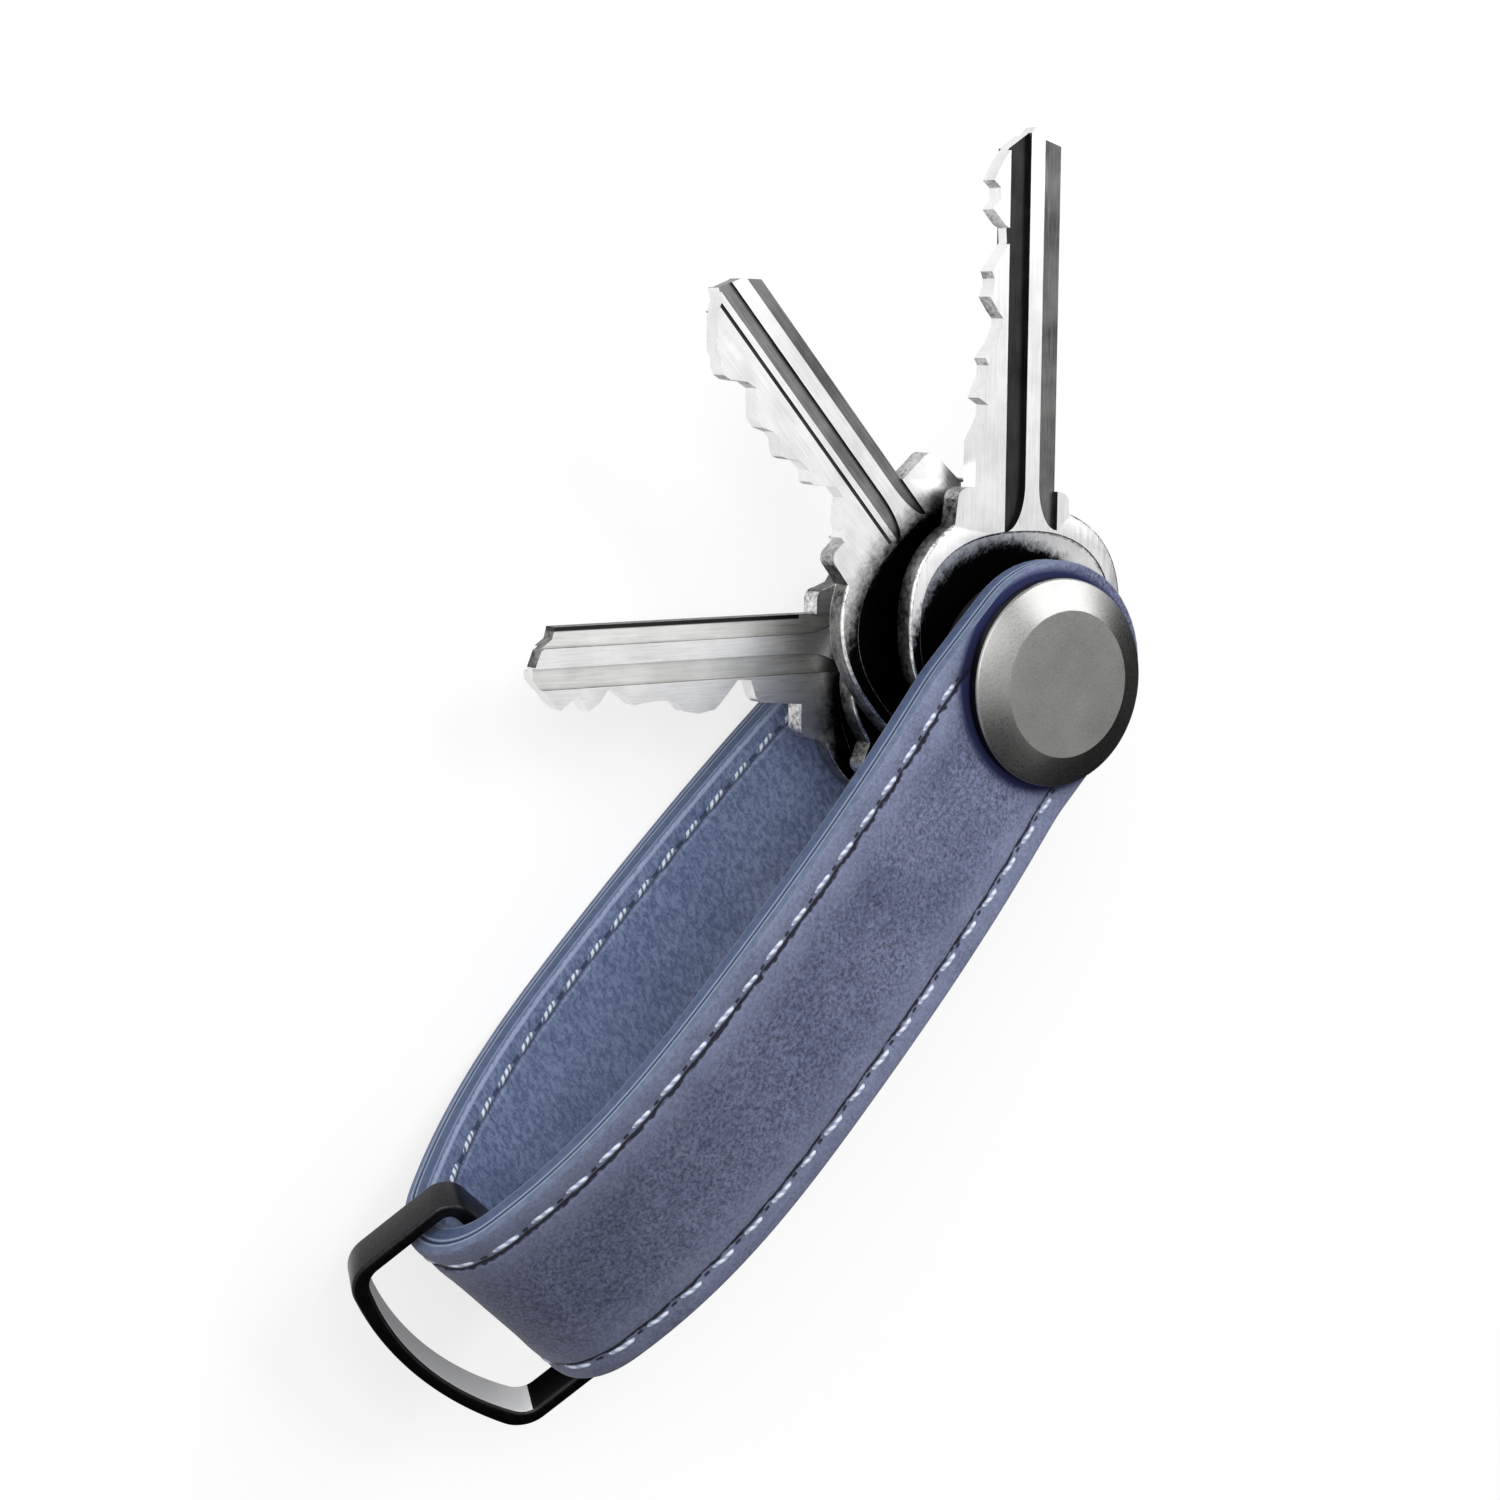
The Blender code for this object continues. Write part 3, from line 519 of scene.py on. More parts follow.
# A pale painted highlight runs along the rounding of the lining's edge, beside the painted edge.
across = add_node(tree, "Math", {0: spread.outputs["Y"]}, operation="ABSOLUTE")
rounding_highlight = band(tree, across, strap_half - 0.42 * MM, 0.10 * MM, 0.12 * MM)
grained = tinted(tree, grained, rounding_highlight, 0.7, "#aab8d2")
crease = band(tree, across, strap_half - crease_inset, 0.06 * MM, 0.16 * MM)
shade = seam_shade(tree, spread.outputs["X"], across, crease, 0.45, 0.75, (0.33, 0.08),
                   (0.12 * MM, 0.16 * MM))
bump = add_node(tree, "Bump", {"Strength": 0.55, "Distance": 0.08 * MM, "Height": relief})
feed(tree, skin, {"Base Color": tinted(tree, grained, shade, 1.0, "#20293c"), "Normal": bump,
                  "Roughness": 0.5, "Specular IOR Level": 0.42})

# Edge paint: thin coats of blue-grey acrylic, sanded between coats and waxed, so the cut
# edge is smooth with a low gloss, darker on the lining's edge than on the nubuck's. The coats
# meet in a fine dark line where the two leathers are glued. Painted highlights lie along each
# side of that line and along the rounding at the lining's face.
edge_paint, tree, coat, place = new_finish("edge paint")
tall = add_node(tree, "SeparateXYZ", {0: add_node(tree, "UVMap", uv_map="edge")}).outputs["X"]
streak = add_node(tree, "TexNoise", {"Vector": place, "Scale": 1 / (0.9 * MM), "Detail": 5.0,
                                     "Roughness": 0.6})
glue_level = (outer_bottom + lining_top) / 2
upper = add_node(tree, "Math", {0: tall, 1: glue_level}, operation="GREATER_THAN")
painted = add_node(tree, "Mix", {"Factor": upper,
                                 "A": two_tones(tree, streak, 0.30, "#42506f", 0.72, "#566585"),
                                 "B": two_tones(tree, streak, 0.30, "#596580", 0.72, "#75819b")},
                   data_type="RGBA")
# Painted highlights beside the glue line and on the lining's rounding, and the dark glue line itself.
for level, half_width, strength, colour in ((glue_level - 0.26 * MM, 0.06 * MM, 0.6, "#a9b8cf"),
                                            (glue_level + 0.28 * MM, 0.05 * MM, 0.6, "#a2afc5"),
                                            (glue_level, 0.08 * MM, 0.8, "#3a4560"),
                                            (0.30 * MM, 0.05 * MM, 0.35, "#a9b6cb")):
    painted = tinted(tree, painted, band(tree, tall, level, half_width, 0.08 * MM), strength, colour)
bump = add_node(tree, "Bump", {"Strength": 0.3, "Distance": 0.04 * MM, "Height": streak})
feed(tree, coat, {"Base Color": painted, "Normal": bump, "Roughness": 0.6, "Specular IOR Level": 0.3})


def mark_edge(shape):
    """Gives the painted edge, just inside the strip's outline, its own material."""
    layer = shape.loops.layers.uv["strap"]
    for face in shape.faces:
        runs = [loop[layer].uv for loop in face.loops]
        inset = 0.0
        for run, side in runs:
            past = max(strap_half - run, run - (strap_length - strap_half), 0.0)
            inset += strap_half - math.hypot(past, side)
        inset /= len(runs)
        face.material_index = 1 if inset < paint_width else 0


nubuck_strip = leather_strip(outer_rings, needle_dip, 1, leather_sag)
mark_edge(nubuck_strip)
nubuck_strip = carve(nubuck_strip, rod(barrel_hole, 0.0, 2 * mid_height))
piece_from("outer_leather", nubuck_strip, (nubuck, edge_paint), "strap",
           ("leather_outer",))
lining_strip = leather_strip(lining_rings, bobbin_dip, -1, leather_sag)
mark_edge(lining_strip)
lining_strip = carve(lining_strip, rod(barrel_hole, 0.0, 2 * mid_height))
piece_from("lining_leather", lining_strip, (grain, edge_paint), "strap",
           ("leather_lining",))

# Seam threads. Bonded polyester in pale blue, lockstitched: the needle thread lies in a
# crease of the nubuck and the bobbin thread in one of the lining, and both go down into
# the same holes. Each stitch is a short bowed length, a little askew.
thread_shift = 0.08 * MM
seam_side = strap_half - seam_inset + thread_shift
stitch_length = 2.75 * MM
stitch_skew = 0.12 * MM
stitch_bow = 0.45 * MM
stitch_lift = 0.03 * MM
stitch_hook = 0.05 * MM
needle_level = strap_thickness - 0.22 * MM
bobbin_level = 0.03 * MM
needle_radius = 0.23 * MM
bobbin_radius = 0.25 * MM
cap_cover = 5.4 * MM


def thread_finish(name, low, high, ply_length):
    """Bonded polyester: two plies twist round each other, and the twist shows as pale and
    dark bars along the thread, whose own map runs in millimetres."""
    bonded, tree, fibre, place = new_finish(name)
    ply = add_node(tree, "TexWave", {"Vector": add_node(tree, "UVMap", uv_map="thread"),
                                     "Scale": 0.628 / (ply_length / MM), "Distortion": 1.2,
                                     "Detail": 2.0}, bands_direction="DIAGONAL").outputs["Fac"]
    bump = add_node(tree, "Bump", {"Strength": 0.6, "Distance": 0.08 * MM, "Height": ply})
    feed(tree, fibre, {"Base Color": two_tones(tree, ply, 0.15, low, 0.6, high),
                       "Normal": bump, "Roughness": 0.5, "Sheen Weight": 0.2})
    return bonded


def stitched(side, outside, radius):
    """All the stitches of one thread, on one face of the strap, as one mesh. Each goes
    down into its hole at both ends."""
    height = needle_level if outside else bobbin_level
    up = 1 if outside else -1
    start = strap_end + cap_cover
    first = round(start / stitch_pitch)
    count = round((strap_length - 2 * start) / stitch_pitch)
    shape = bmesh.new()
    layer = shape.loops.layers.uv.new("thread")
    for i in range(count):
        middle = (first + i + 0.5) * stitch_pitch
        lean = stitch_skew * (1.0 + 0.25 * math.sin(5.1 * i))
        lift = stitch_lift * math.sin(2.7 * i)
        stretch = 1.0 + 0.05 * math.sin(3.3 * i)
        made = bmesh.ops.create_uvsphere(shape, u_segments=7, v_segments=10, radius=1.0)
        wraps = {}
        for vert in made["verts"]:
            along, across, tall = vert.co.z, vert.co.x, vert.co.y
            wraps[vert] = (along * stitch_length / 2, math.atan2(tall, across))
            round_off = math.sqrt(max(0.0, 1.0 - along ** 8)) / math.sqrt(
                max(1e-6, 1.0 - along ** 2)) if abs(along) < 0.999 else 1.0
            bow = stitch_bow * abs(along) ** 3.5
            hook = -stitch_hook * math.cos(math.pi * along / 2)
            vert.co = on_strap(middle + along * stretch * stitch_length / 2,
                               side + lean * along - hook * math.copysign(1, side)
                               + radius * across * round_off,
                               height + up * (lift - bow + 0.85 * radius * tall * round_off))
        for face in {f for vert in made["verts"] for f in vert.link_faces}:
            for loop in face.loops:
                run, wrap = wraps[loop.vert]
                loop[layer].uv = (run / MM, wrap / (2 * math.pi))
    bmesh.ops.recalc_face_normals(shape, faces=shape.faces)
    return shape


needle_thread = thread_finish("bonded polyester thread", "#a3afca", "#dde5f3", 0.9 * MM)
bobbin_thread = thread_finish("bonded bobbin thread", "#5d6e87", "#e6eef8", 0.7 * MM)
for edge, side in (("near", -seam_side), ("far", seam_side)):
    piece_from("needle_stitches_" + edge, stitched(side, True, needle_radius), (needle_thread,),
               "strap", ("needle_thread_" + edge,))
    piece_from("bobbin_stitches_" + edge, stitched(side, False, bobbin_radius), (bobbin_thread,),
               "strap", ("bobbin_thread_" + edge,))

# Caps. Both are turned from steel bar, bead blasted and coated gunmetal. A flat face meets
# a long cone, with every edge broken; the front cap carries the threaded barrel, and the
# rear one the screw's shank and a slot for a coin.
cap_radius = 9.5 * MM
cap_flat_radius = 6.7 * MM
cap_wall = 1.2 * MM
cap_bevel = 1.3 * MM
barrel_radius = 2.5 * MM
barrel_bore = 1.75 * MM
barrel_end_gap = 0.6 * MM
screw_radius = 1.5 * MM
screw_reach = 15.0 * MM
coin_slot_width = 1.6 * MM
coin_slot_length = 11.0 * MM
coin_slot_depth = 0.6 * MM
cap_fillet = 0.28 * MM
side_shade_margin = 0.15 * MM
axis_margin = 0.1 * MM
turned_weld = 0.003 * MM
cap_height = cap_wall + cap_bevel
cap_under = 2 * mid_height - cap_height


def spun(profile, steps=128):
    """A profile of radii and levels turned about the screw's axis."""
    shape = bmesh.new()
    points = [shape.verts.new((radius, 0.0, level)) for radius, level in profile]
    edges = [shape.edges.new(pair) for pair in zip(points, points[1:])]
    bmesh.ops.spin(shape, geom=points + edges, axis=(0, 0, 1), cent=(0, 0, 0),
                   angle=2 * math.pi, steps=steps, use_merge=True)
    bmesh.ops.remove_doubles(shape, verts=shape.verts, dist=turned_weld)
    bmesh.ops.recalc_face_normals(shape, faces=shape.faces)
    return shape


def rounded(profile, radius, steps=5):
    """The profile with each inner corner replaced by an arc of the radius."""
    points = [Vector(p) for p in profile]
    smoothed = [points[0]]
    for before, corner, after in zip(points, points[1:], points[2:]):
        first = (before - corner).normalized()
        second = (after - corner).normalized()
        half = first.angle(second) / 2
        cut = min(radius / math.tan(half), 0.45 * (before - corner).length,
                  0.45 * (after - corner).length)
        bend = cut * math.tan(half)
        centre = corner + (first + second).normalized() * bend / math.sin(half)
        start = corner + first * cut - centre
        end = corner + second * cut - centre
        for i in range(steps + 1):
            smoothed.append(centre + start.slerp(end, i / steps).normalized() * bend)
    return smoothed + [points[-1]]


# Bead-blasted gunmetal: the glass beads leave dimples of about 0.1 mm, drawn at 0.16 mm so
# that they show, and the dark coat keeps a soft metal gloss.
gunmetal, tree, coat, place = new_finish("bead-blasted gunmetal")
beads = add_node(tree, "TexNoise", {"Vector": place, "Scale": 1 / (0.16 * MM), "Detail": 2.0,
                                    "Roughness": 0.6})
tarnish = add_node(tree, "TexNoise", {"Vector": place, "Scale": 1 / (5 * MM), "Detail": 3.0})
mixed = add_node(tree, "Math", {0: beads, 1: tarnish}, operation="ADD")
dull = add_node(tree, "MapRange", {"Value": beads, "From Min": 0.3, "From Max": 0.7,
                                   "To Min": 0.26, "To Max": 0.35})
bump = add_node(tree, "Bump", {"Strength": 0.25, "Distance": 0.02 * MM, "Height": beads})
feed(tree, coat, {"Base Color": two_tones(tree, mixed, 0.7, "#838382", 1.3, "#9e9e9c"),
                  "Roughness": dull, "Normal": bump, "Metallic": 1.0})

# The turned sides are painted near black, with hardly any gloss, as painted shade where
# they stand next to the leather. The tool's lines lie 0.12 mm apart.
shaded_cap_side, tree, coat, place = new_finish("turned gunmetal, painted shade")
turning = add_node(tree, "Mapping", {"Vector": place, "Scale": (0.2, 0.2, 1.0)})
tool_lines = add_node(tree, "TexNoise", {"Vector": turning, "Scale": 1 / (0.12 * MM), "Detail": 3.0})
feed(tree, coat, {"Base Color": two_tones(tree, tool_lines, 0.3, "#151517", 0.7, "#2c2c2e"),
                  "Roughness": 0.42, "Metallic": 1.0})


def shade_sides(shape, axis_radius, low, high):
    """The painted shade is on all that lies outside the barrel, between two levels."""
    for face in shape.faces:
        centre = face.calc_center_median()
        if centre.xy.length > axis_radius + axis_margin and low < centre.z < high:
            face.material_index = 1


cap_line = [(0.0, 2 * mid_height), (cap_flat_radius, 2 * mid_height),
            (cap_radius, 2 * mid_height - cap_bevel), (cap_radius, cap_under),
            (barrel_radius, cap_under), (barrel_radius, cap_height + barrel_end_gap),
            (barrel_bore, cap_height + barrel_end_gap),
            (barrel_bore, screw_reach + cap_height + barrel_end_gap),
            (0.0, screw_reach + cap_height + barrel_end_gap)]
front_cap = spun(rounded(cap_line, cap_fillet))
shade_sides(front_cap, barrel_radius, 0.0, 2 * mid_height - cap_bevel - side_shade_margin)
piece_from("front_cap", front_cap, (gunmetal, shaded_cap_side), "strap", ("cap_front",))

rear_line = [(0.0, 0.0), (cap_flat_radius, 0.0), (cap_radius, cap_bevel),
             (cap_radius, cap_height), (screw_radius, cap_height),
             (screw_radius, screw_reach + cap_height), (0.0, screw_reach + cap_height)]
rear_cap = spun(rounded(rear_line, cap_fillet))
shade_sides(rear_cap, screw_radius, cap_bevel + side_shade_margin, 2 * mid_height)
slot_tool = bmesh.new()
bmesh.ops.create_cube(slot_tool, size=1.0)
bmesh.ops.scale(slot_tool, vec=(coin_slot_length, coin_slot_width, 2 * coin_slot_depth),
                verts=slot_tool.verts)
upright = [e for e in slot_tool.edges if abs(e.verts[0].co.z - e.verts[1].co.z) > 1e-5]
bmesh.ops.bevel(slot_tool, geom=upright, offset=coin_slot_width * 0.49, segments=8,
                profile=0.5, affect="EDGES", material=-1)
rear_cap = carve(rear_cap, slot_tool)
piece_from("rear_cap_and_screw", rear_cap, (gunmetal, shaded_cap_side), "screw",
           ("cap_rear_screw",))

# Washers and spacers. Moulded in black nylon, they keep the keys off the leather and off
# each other: two wide washers under the strap's ends and three small ones on the barrel.
nylon, tree, resin, place = new_finish("black moulded nylon")
texture = add_node(tree, "TexNoise", {"Vector": place, "Scale": 1 / (0.3 * MM), "Detail": 3.0})
bump = add_node(tree, "Bump", {"Strength": 0.3, "Distance": 0.02 * MM, "Height": texture})
feed(tree, resin, {"Base Color": two_tones(tree, texture, 0.0, "#1b1b1d", 1.0, "#29292b"),
                   "Normal": bump, "Roughness": 0.45})
washer_fillet = 0.4 * MM
spacer_fillet = 0.22 * MM
for name in ("washer_front", "washer_rear", "spacer_1", "spacer_2", "spacer_3"):
    low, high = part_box(name)
    fillet = washer_fillet if name.startswith("washer") else spacer_fillet
    rim = high.x
    section = [(barrel_hole + fillet, high.z), (barrel_hole, high.z), (barrel_hole, low.z),
               (rim, low.z), (rim, high.z), (barrel_hole + fillet, high.z)]
    moulded = spun(rounded(section, fillet, 4), 96)
    piece_from(name + "_moulded", moulded, (nylon,), "strap", (name,))

# Keys. Each is blanked from brass strip, bright nickel plated, and hangs on the barrel by
# the hole in its round bow. The blade has two long milled grooves on the face side, one
# behind, and a cut along the bitting there. Painted shade darkens the bows near the strap's
# ends, where the keys shade each other and show dark reflections.
key_thickness = 2.1 * MM
bow_half_width = 12.3 * MM
bow_tail = 5.2 * MM
bow_power = 2.4
bow_rim = 1.1 * MM
neck_rim = 2.2 * MM
bow_recess = 0.25 * MM
bow_rounding = 0.22 * MM
shoulder_height = 1.9 * MM
shoulder_fillet = 1.0 * MM
groove_lead = 4.2 * MM
groove_point = 4.4 * MM
groove_depth = 0.55 * MM
rear_groove_shares = (0.19, 0.43)
mill_share = 0.62
mill_depth = 0.35 * MM
mill_lead = 0.4 * MM
scribe_depth = 0.12 * MM
groove_shift = 0.05 * MM
edge_clearance = 0.06 * MM
ear_margin = 0.1 * MM
scribe_lead = 3.6 * MM
past_tip = 2.0 * MM
drill_reach = 5.0 * MM
recess_rounding = 0.95 * bow_recess
key_weld = 0.004 * MM
shade_wander = 3.0 * MM
line_softness = 0.06 * MM
# Sizes are in millimetres and turns in degrees. The stack's shade gives the middle, reach
# and soft edge of the painted shade on the bow, and scribe a line's place and width. The
# grooves' shares are of the blade's height, and the bitting and the tip are shares of its
# length and height.
keys = (
    dict(name="key_front", body="front_key", level=18.45, turn=44.4, stop=17.5, blade=32.3,
         height=9.7, back=4.5, back_ear=1.3, bitting_ear=1.9, back_lag=0.7,
         groove_shares=((-0.10, 0.23), (0.40, 0.64)), groove_depth=0.55,
         grooves=(("#3c3c3d", "#272728"), ("#7a7a79", "#4a4a4a")),
         stack_shade=(1.0, 1.0, 11.6, 0.8),
         bitting=((0.00, 1.00), (0.13, 1.00), (0.18, 0.90), (0.20, 0.87), (0.23, 0.86),
                  (0.25, 0.97), (0.31, 0.87), (0.34, 0.86), (0.36, 0.90), (0.40, 0.78),
                  (0.45, 0.70), (0.47, 0.70), (0.49, 0.76), (0.53, 0.86), (0.56, 0.81),
                  (0.58, 0.81), (0.60, 0.84), (0.65, 0.71), (0.68, 0.63), (0.72, 0.64),
                  (0.73, 0.70), (0.77, 0.83), (0.80, 0.75), (0.83, 0.75)),
         tip=((0.85, 0.83), (0.88, 0.77), (0.91, 0.71), (0.94, 0.62), (0.98, 0.41),
              (1.00, 0.35), (0.97, 0.22), (0.95, 0.00))),
    dict(name="key_middle", body="middle_key", level=15.15, turn=85.3, stop=21.0, blade=25.6,
         height=8.5, back=3.7, back_ear=4.2, bitting_ear=2.0, back_lag=0.1,
         groove_shares=((-0.10, 0.14), (0.31, 0.47)), groove_depth=0.30,
         grooves=(("#8e8e8e", "#666666"), ("#7e7e7e", "#585858")),
         stack_shade=(0.0, 0.0, 18.0, 1.6), scribe=(1.05, 0.36),
         bitting=((0.00, 0.99), (0.02, 0.99), (0.03, 0.92), (0.06, 0.89), (0.10, 0.77),
                  (0.12, 0.69), (0.17, 0.69), (0.20, 0.78), (0.24, 0.89), (0.26, 0.91),
                  (0.29, 0.83), (0.34, 0.85), (0.38, 0.96), (0.40, 0.99), (0.42, 0.98),
                  (0.46, 0.90), (0.49, 0.91), (0.53, 0.98), (0.57, 0.98), (0.65, 0.78),
                  (0.69, 0.82), (0.74, 0.96), (0.77, 0.99), (0.80, 0.96), (0.82, 0.91),
                  (0.85, 0.89), (0.94, 0.65)),
         tip=((0.96, 0.51), (1.00, 0.45), (0.97, 0.20), (0.91, 0.00))),
    dict(name="key_folded", body="folded_key", level=11.85, turn=188.0, stop=14.6, blade=29.0,
         height=8.6, back=4.3, back_ear=1.2, bitting_ear=2.3, back_lag=0.1,
         groove_shares=((-0.10, 0.22), (0.40, 0.64)), groove_depth=0.55,
         grooves=(("#8e8e8e", "#666666"), ("#7e7e7e", "#585858")),
         stack_shade=(0.0, 0.0, 16.0, 1.0),
         bitting=((0.00, 1.00), (0.10, 1.00), (0.15, 0.84), (0.18, 0.75), (0.23, 0.75),
                  (0.28, 0.90), (0.34, 0.94), (0.40, 0.74), (0.44, 0.73), (0.49, 0.88),
                  (0.55, 0.80), (0.60, 0.81), (0.64, 0.90), (0.70, 0.74), (0.74, 0.73),
                  (0.79, 0.86), (0.84, 0.72), (0.90, 0.82)),
         tip=((0.96, 0.66), (1.00, 0.45), (0.98, 0.16), (0.95, 0.00))),
    dict(name="key_rear", body="rear_key", level=8.55, turn=134.1, stop=17.3, blade=28.0,
         height=8.8, back=5.6, back_ear=2.3, bitting_ear=2.7, back_lag=1.6,
         groove_shares=((-0.10, 0.20), (0.40, 0.62)), groove_depth=0.55,
         grooves=(("#e9e9e6", "#cfcfcc"), ("#efefec", "#d6d6d3")),
         stack_shade=(2.0, 5.0, 13.2, 1.8), dark_back=0.4,
         bitting=((0.00, 0.94), (0.16, 0.89), (0.18, 0.83), (0.20, 0.65), (0.25, 0.64),
                  (0.32, 0.88), (0.34, 0.93), (0.40, 0.96), (0.45, 0.93), (0.48, 0.84),
                  (0.51, 0.80), (0.57, 0.80), (0.61, 0.81), (0.64, 0.83), (0.67, 0.75),
                  (0.71, 0.66), (0.73, 0.63), (0.74, 0.66), (0.77, 0.78), (0.81, 0.86),
                  (0.84, 0.73), (0.85, 0.70), (0.91, 0.83), (0.94, 0.75)),
         tip=((0.97, 0.63), (1.00, 0.51), (1.00, 0.39), (0.98, 0.23), (0.93, 0.12),
              (0.92, 0.00))),
)
# The material numbers of a key's faces. The plating is number 0.
FRONT_GROOVE, BACK_GROOVE, WALL, WORN_EDGE, GROOVE_WALL, SHADED_FLANK = range(1, 7)


def corner_arc(x, y, radius, start, end, steps):
    return [(x + radius * math.cos(start + (end - start) * i / steps),
             y + radius * math.sin(start + (end - start) * i / steps))
            for i in range(steps + 1)]


def bow_line(key, inset, neck_inset, steps=120):
    """The bow's oval, from one side of the neck round the tail to the other."""
    front = key["stop"] * MM - shoulder_height - neck_inset
    middle = (front - bow_tail + inset) / 2
    half_length = (front + bow_tail - inset) / 2
    points = []
    for i in range(steps):
        angle = 2 * math.pi * i / steps
        c, s = math.cos(angle), math.sin(angle)
        points.append((middle + half_length * math.copysign(abs(c) ** (2 / bow_power), c),
                       (bow_half_width - inset)
                       * math.copysign(abs(s) ** (2 / bow_power), s)))
    return points


def key_line(key):
    """The whole key: bow, shoulders, bitted blade and tip."""
    stop, length, height = key["stop"] * MM, key["blade"] * MM, key["height"] * MM
    back = -key["back"] * MM
    back_stop = stop - key["back_lag"] * MM
    top = back + height + key["bitting_ear"] * MM
    bottom = back - key["back_ear"] * MM
    bow = [p for p in bow_line(key, 0.0, 0.0) if not (p[0] > 0 and bottom < p[1] < top)]
    start = next(i for i, p in enumerate(bow) if p[1] >= top and p[0] > 0)
    points = bow[start:] + bow[:start]
    points += corner_arc(back_stop - shoulder_fillet, bottom + shoulder_fillet,
                         shoulder_fillet, -math.pi / 2, 0.0, 6)
    points.append((back_stop, back))
    for shares in (key["tip"], key["bitting"]):
        points += [(stop + length * a, back + height * b) for a, b in reversed(shares)]
    points += corner_arc(stop - shoulder_fillet, top - shoulder_fillet, shoulder_fillet,
                         0.0, math.pi / 2, 6)
    return points


def run_out(key, first, last, steps=14):
    """A groove's curved end, where the cutter leaves the bow, from one level to another."""
    start = key["stop"] * MM - groove_lead
    turns = [math.pi / 2 * i / steps for i in range(steps + 1)]
    return [(start + groove_point * (1.0 - math.cos(turn)),
             first + (last - first) * math.sin(turn)) for turn in turns]


def groove_line(key, low, high):
    """A groove along the blade, out past the tip."""
    end = (key["stop"] + key["blade"]) * MM + past_tip
    return run_out(key, high, low) + [(end, low), (end, high)]


def back_groove_line(key, low, high):
    """The groove along the back edge. It narrows towards that edge at the cutter's run-out,
    and is cut past the edge only along the blade."""
    edge = groove_shift - key["back"] * MM
    top = high + groove_shift
    end = (key["stop"] + key["blade"]) * MM + past_tip
    clear = (key["stop"] - key["back_lag"]) * MM + edge_clearance
    return run_out(key, edge, top) + [(end, top), (end, low), (clear, low), (clear, edge)]


def plate(outline, low, high):
    """A flat piece of an outline, from one level to another."""
    shape = bmesh.new()
    points = [shape.verts.new((x, y, low)) for x, y in outline]
    edges = [shape.edges.new(pair) for pair in zip(points, points[1:] + points[:1])]
    face = bmesh.ops.contextual_create(shape, geom=edges)["faces"]
    raised = bmesh.ops.extrude_face_region(shape, geom=face)["geom"]
    bmesh.ops.translate(shape, vec=(0, 0, high - low),
                        verts=[v for v in raised if isinstance(v, bmesh.types.BMVert)])
    bmesh.ops.recalc_face_normals(shape, faces=shape.faces)
    return shape


def soften(shape, chosen, width, segments, finish=-1):
    bmesh.ops.bevel(shape, geom=chosen, offset=width, segments=segments, profile=0.5,
                    affect="EDGES", clamp_overlap=True, material=finish)


def level_edges(shape, level):
    return [e for e in shape.edges if all(abs(v.co.z - level) < 1e-6 for v in e.verts)]


def nickel_finish(name, key, bright, dark, roughness, pitch=0.12 * MM, stretch=0.03, stack_shade=True):
    """Nickel plate over rolled brass: a bright warm white with fine lines along the blade,
    0.12 mm apart, that the rolling and the polishing wheel leave under the plate. Inside
    the strap's ends it is painted dark, with a mottled edge, as shade and dark reflections."""
    plating, tree, metal, place = new_finish(name)
    turned = add_node(tree, "Mapping", {"Vector": place,
                                        "Rotation": (0.0, 0.0, -math.radians(key["turn"]))})
    drawn = add_node(tree, "Mapping", {"Vector": turned, "Scale": (stretch, 1.0, 1.0)})
    lines = add_node(tree, "TexNoise", {"Vector": drawn, "Scale": 1 / pitch, "Detail": 4.0,
                                        "Roughness": 0.65})
    clouds = add_node(tree, "TexNoise", {"Vector": place, "Scale": 1 / (3.5 * MM), "Detail": 4.0})
    both = add_node(tree, "Math", {0: lines, 1: clouds}, operation="ADD")
    colour = two_tones(tree, both, 0.75, dark, 1.2, bright)
    if stack_shade:
        centre_x, centre_y, reach, soft = (v * MM for v in key["stack_shade"])
        levelled = add_node(tree, "Mapping", {"Vector": turned, "Scale": (1.0, 1.0, 0.0),
                                              "Location": (-centre_x, -centre_y, 0.0)})
        away = add_node(tree, "VectorMath", {0: levelled}, operation="LENGTH")
        mottle = add_node(tree, "TexNoise", {"Vector": place, "Scale": 1 / (0.7 * MM),
                                             "Detail": 5.0, "Roughness": 0.75})
        strayed = add_node(tree, "Math", {0: mottle, 1: shade_wander, 2: away}, operation="MULTIPLY_ADD")
        edge = reach + shade_wander / 2
        stack_shade_mask = add_node(tree, "MapRange", {"Value": strayed, "From Min": edge + soft,
                                           "From Max": edge - soft},
                        interpolation_type="SMOOTHSTEP")
        colour = tinted(tree, colour, stack_shade_mask, 1.0, "#0b0b0c")
    if "dark_back" in key:
        # A band of painted shade lies along the back edge of the blade.
        own = add_node(tree, "SeparateXYZ", {0: turned})
        top, stop = (key["dark_back"] - key["back"]) * MM, key["stop"] * MM
        below = add_node(tree, "MapRange", {"Value": own.outputs["Y"],
                                            "From Min": top + line_softness,
                                            "From Max": top - line_softness})
        on_blade = add_node(tree, "MapRange", {"Value": own.outputs["X"], "From Min": stop,
                                               "From Max": stop + ear_margin})
        back_shade = add_node(tree, "Math", {0: below, 1: on_blade}, operation="MINIMUM")
        colour = tinted(tree, colour, back_shade, 1.0, "#2e2e2e")
    dull = add_node(tree, "MapRange", {"Value": lines, "From Min": 0.3, "From Max": 0.7,
                                       "To Min": roughness - 0.06, "To Max": roughness + 0.08})
    bump = add_node(tree, "Bump", {"Strength": 0.2, "Distance": 0.015 * MM, "Height": lines})
    feed(tree, metal, {"Base Color": colour, "Roughness": dull, "Normal": bump, "Metallic": 1.0})
    return plating


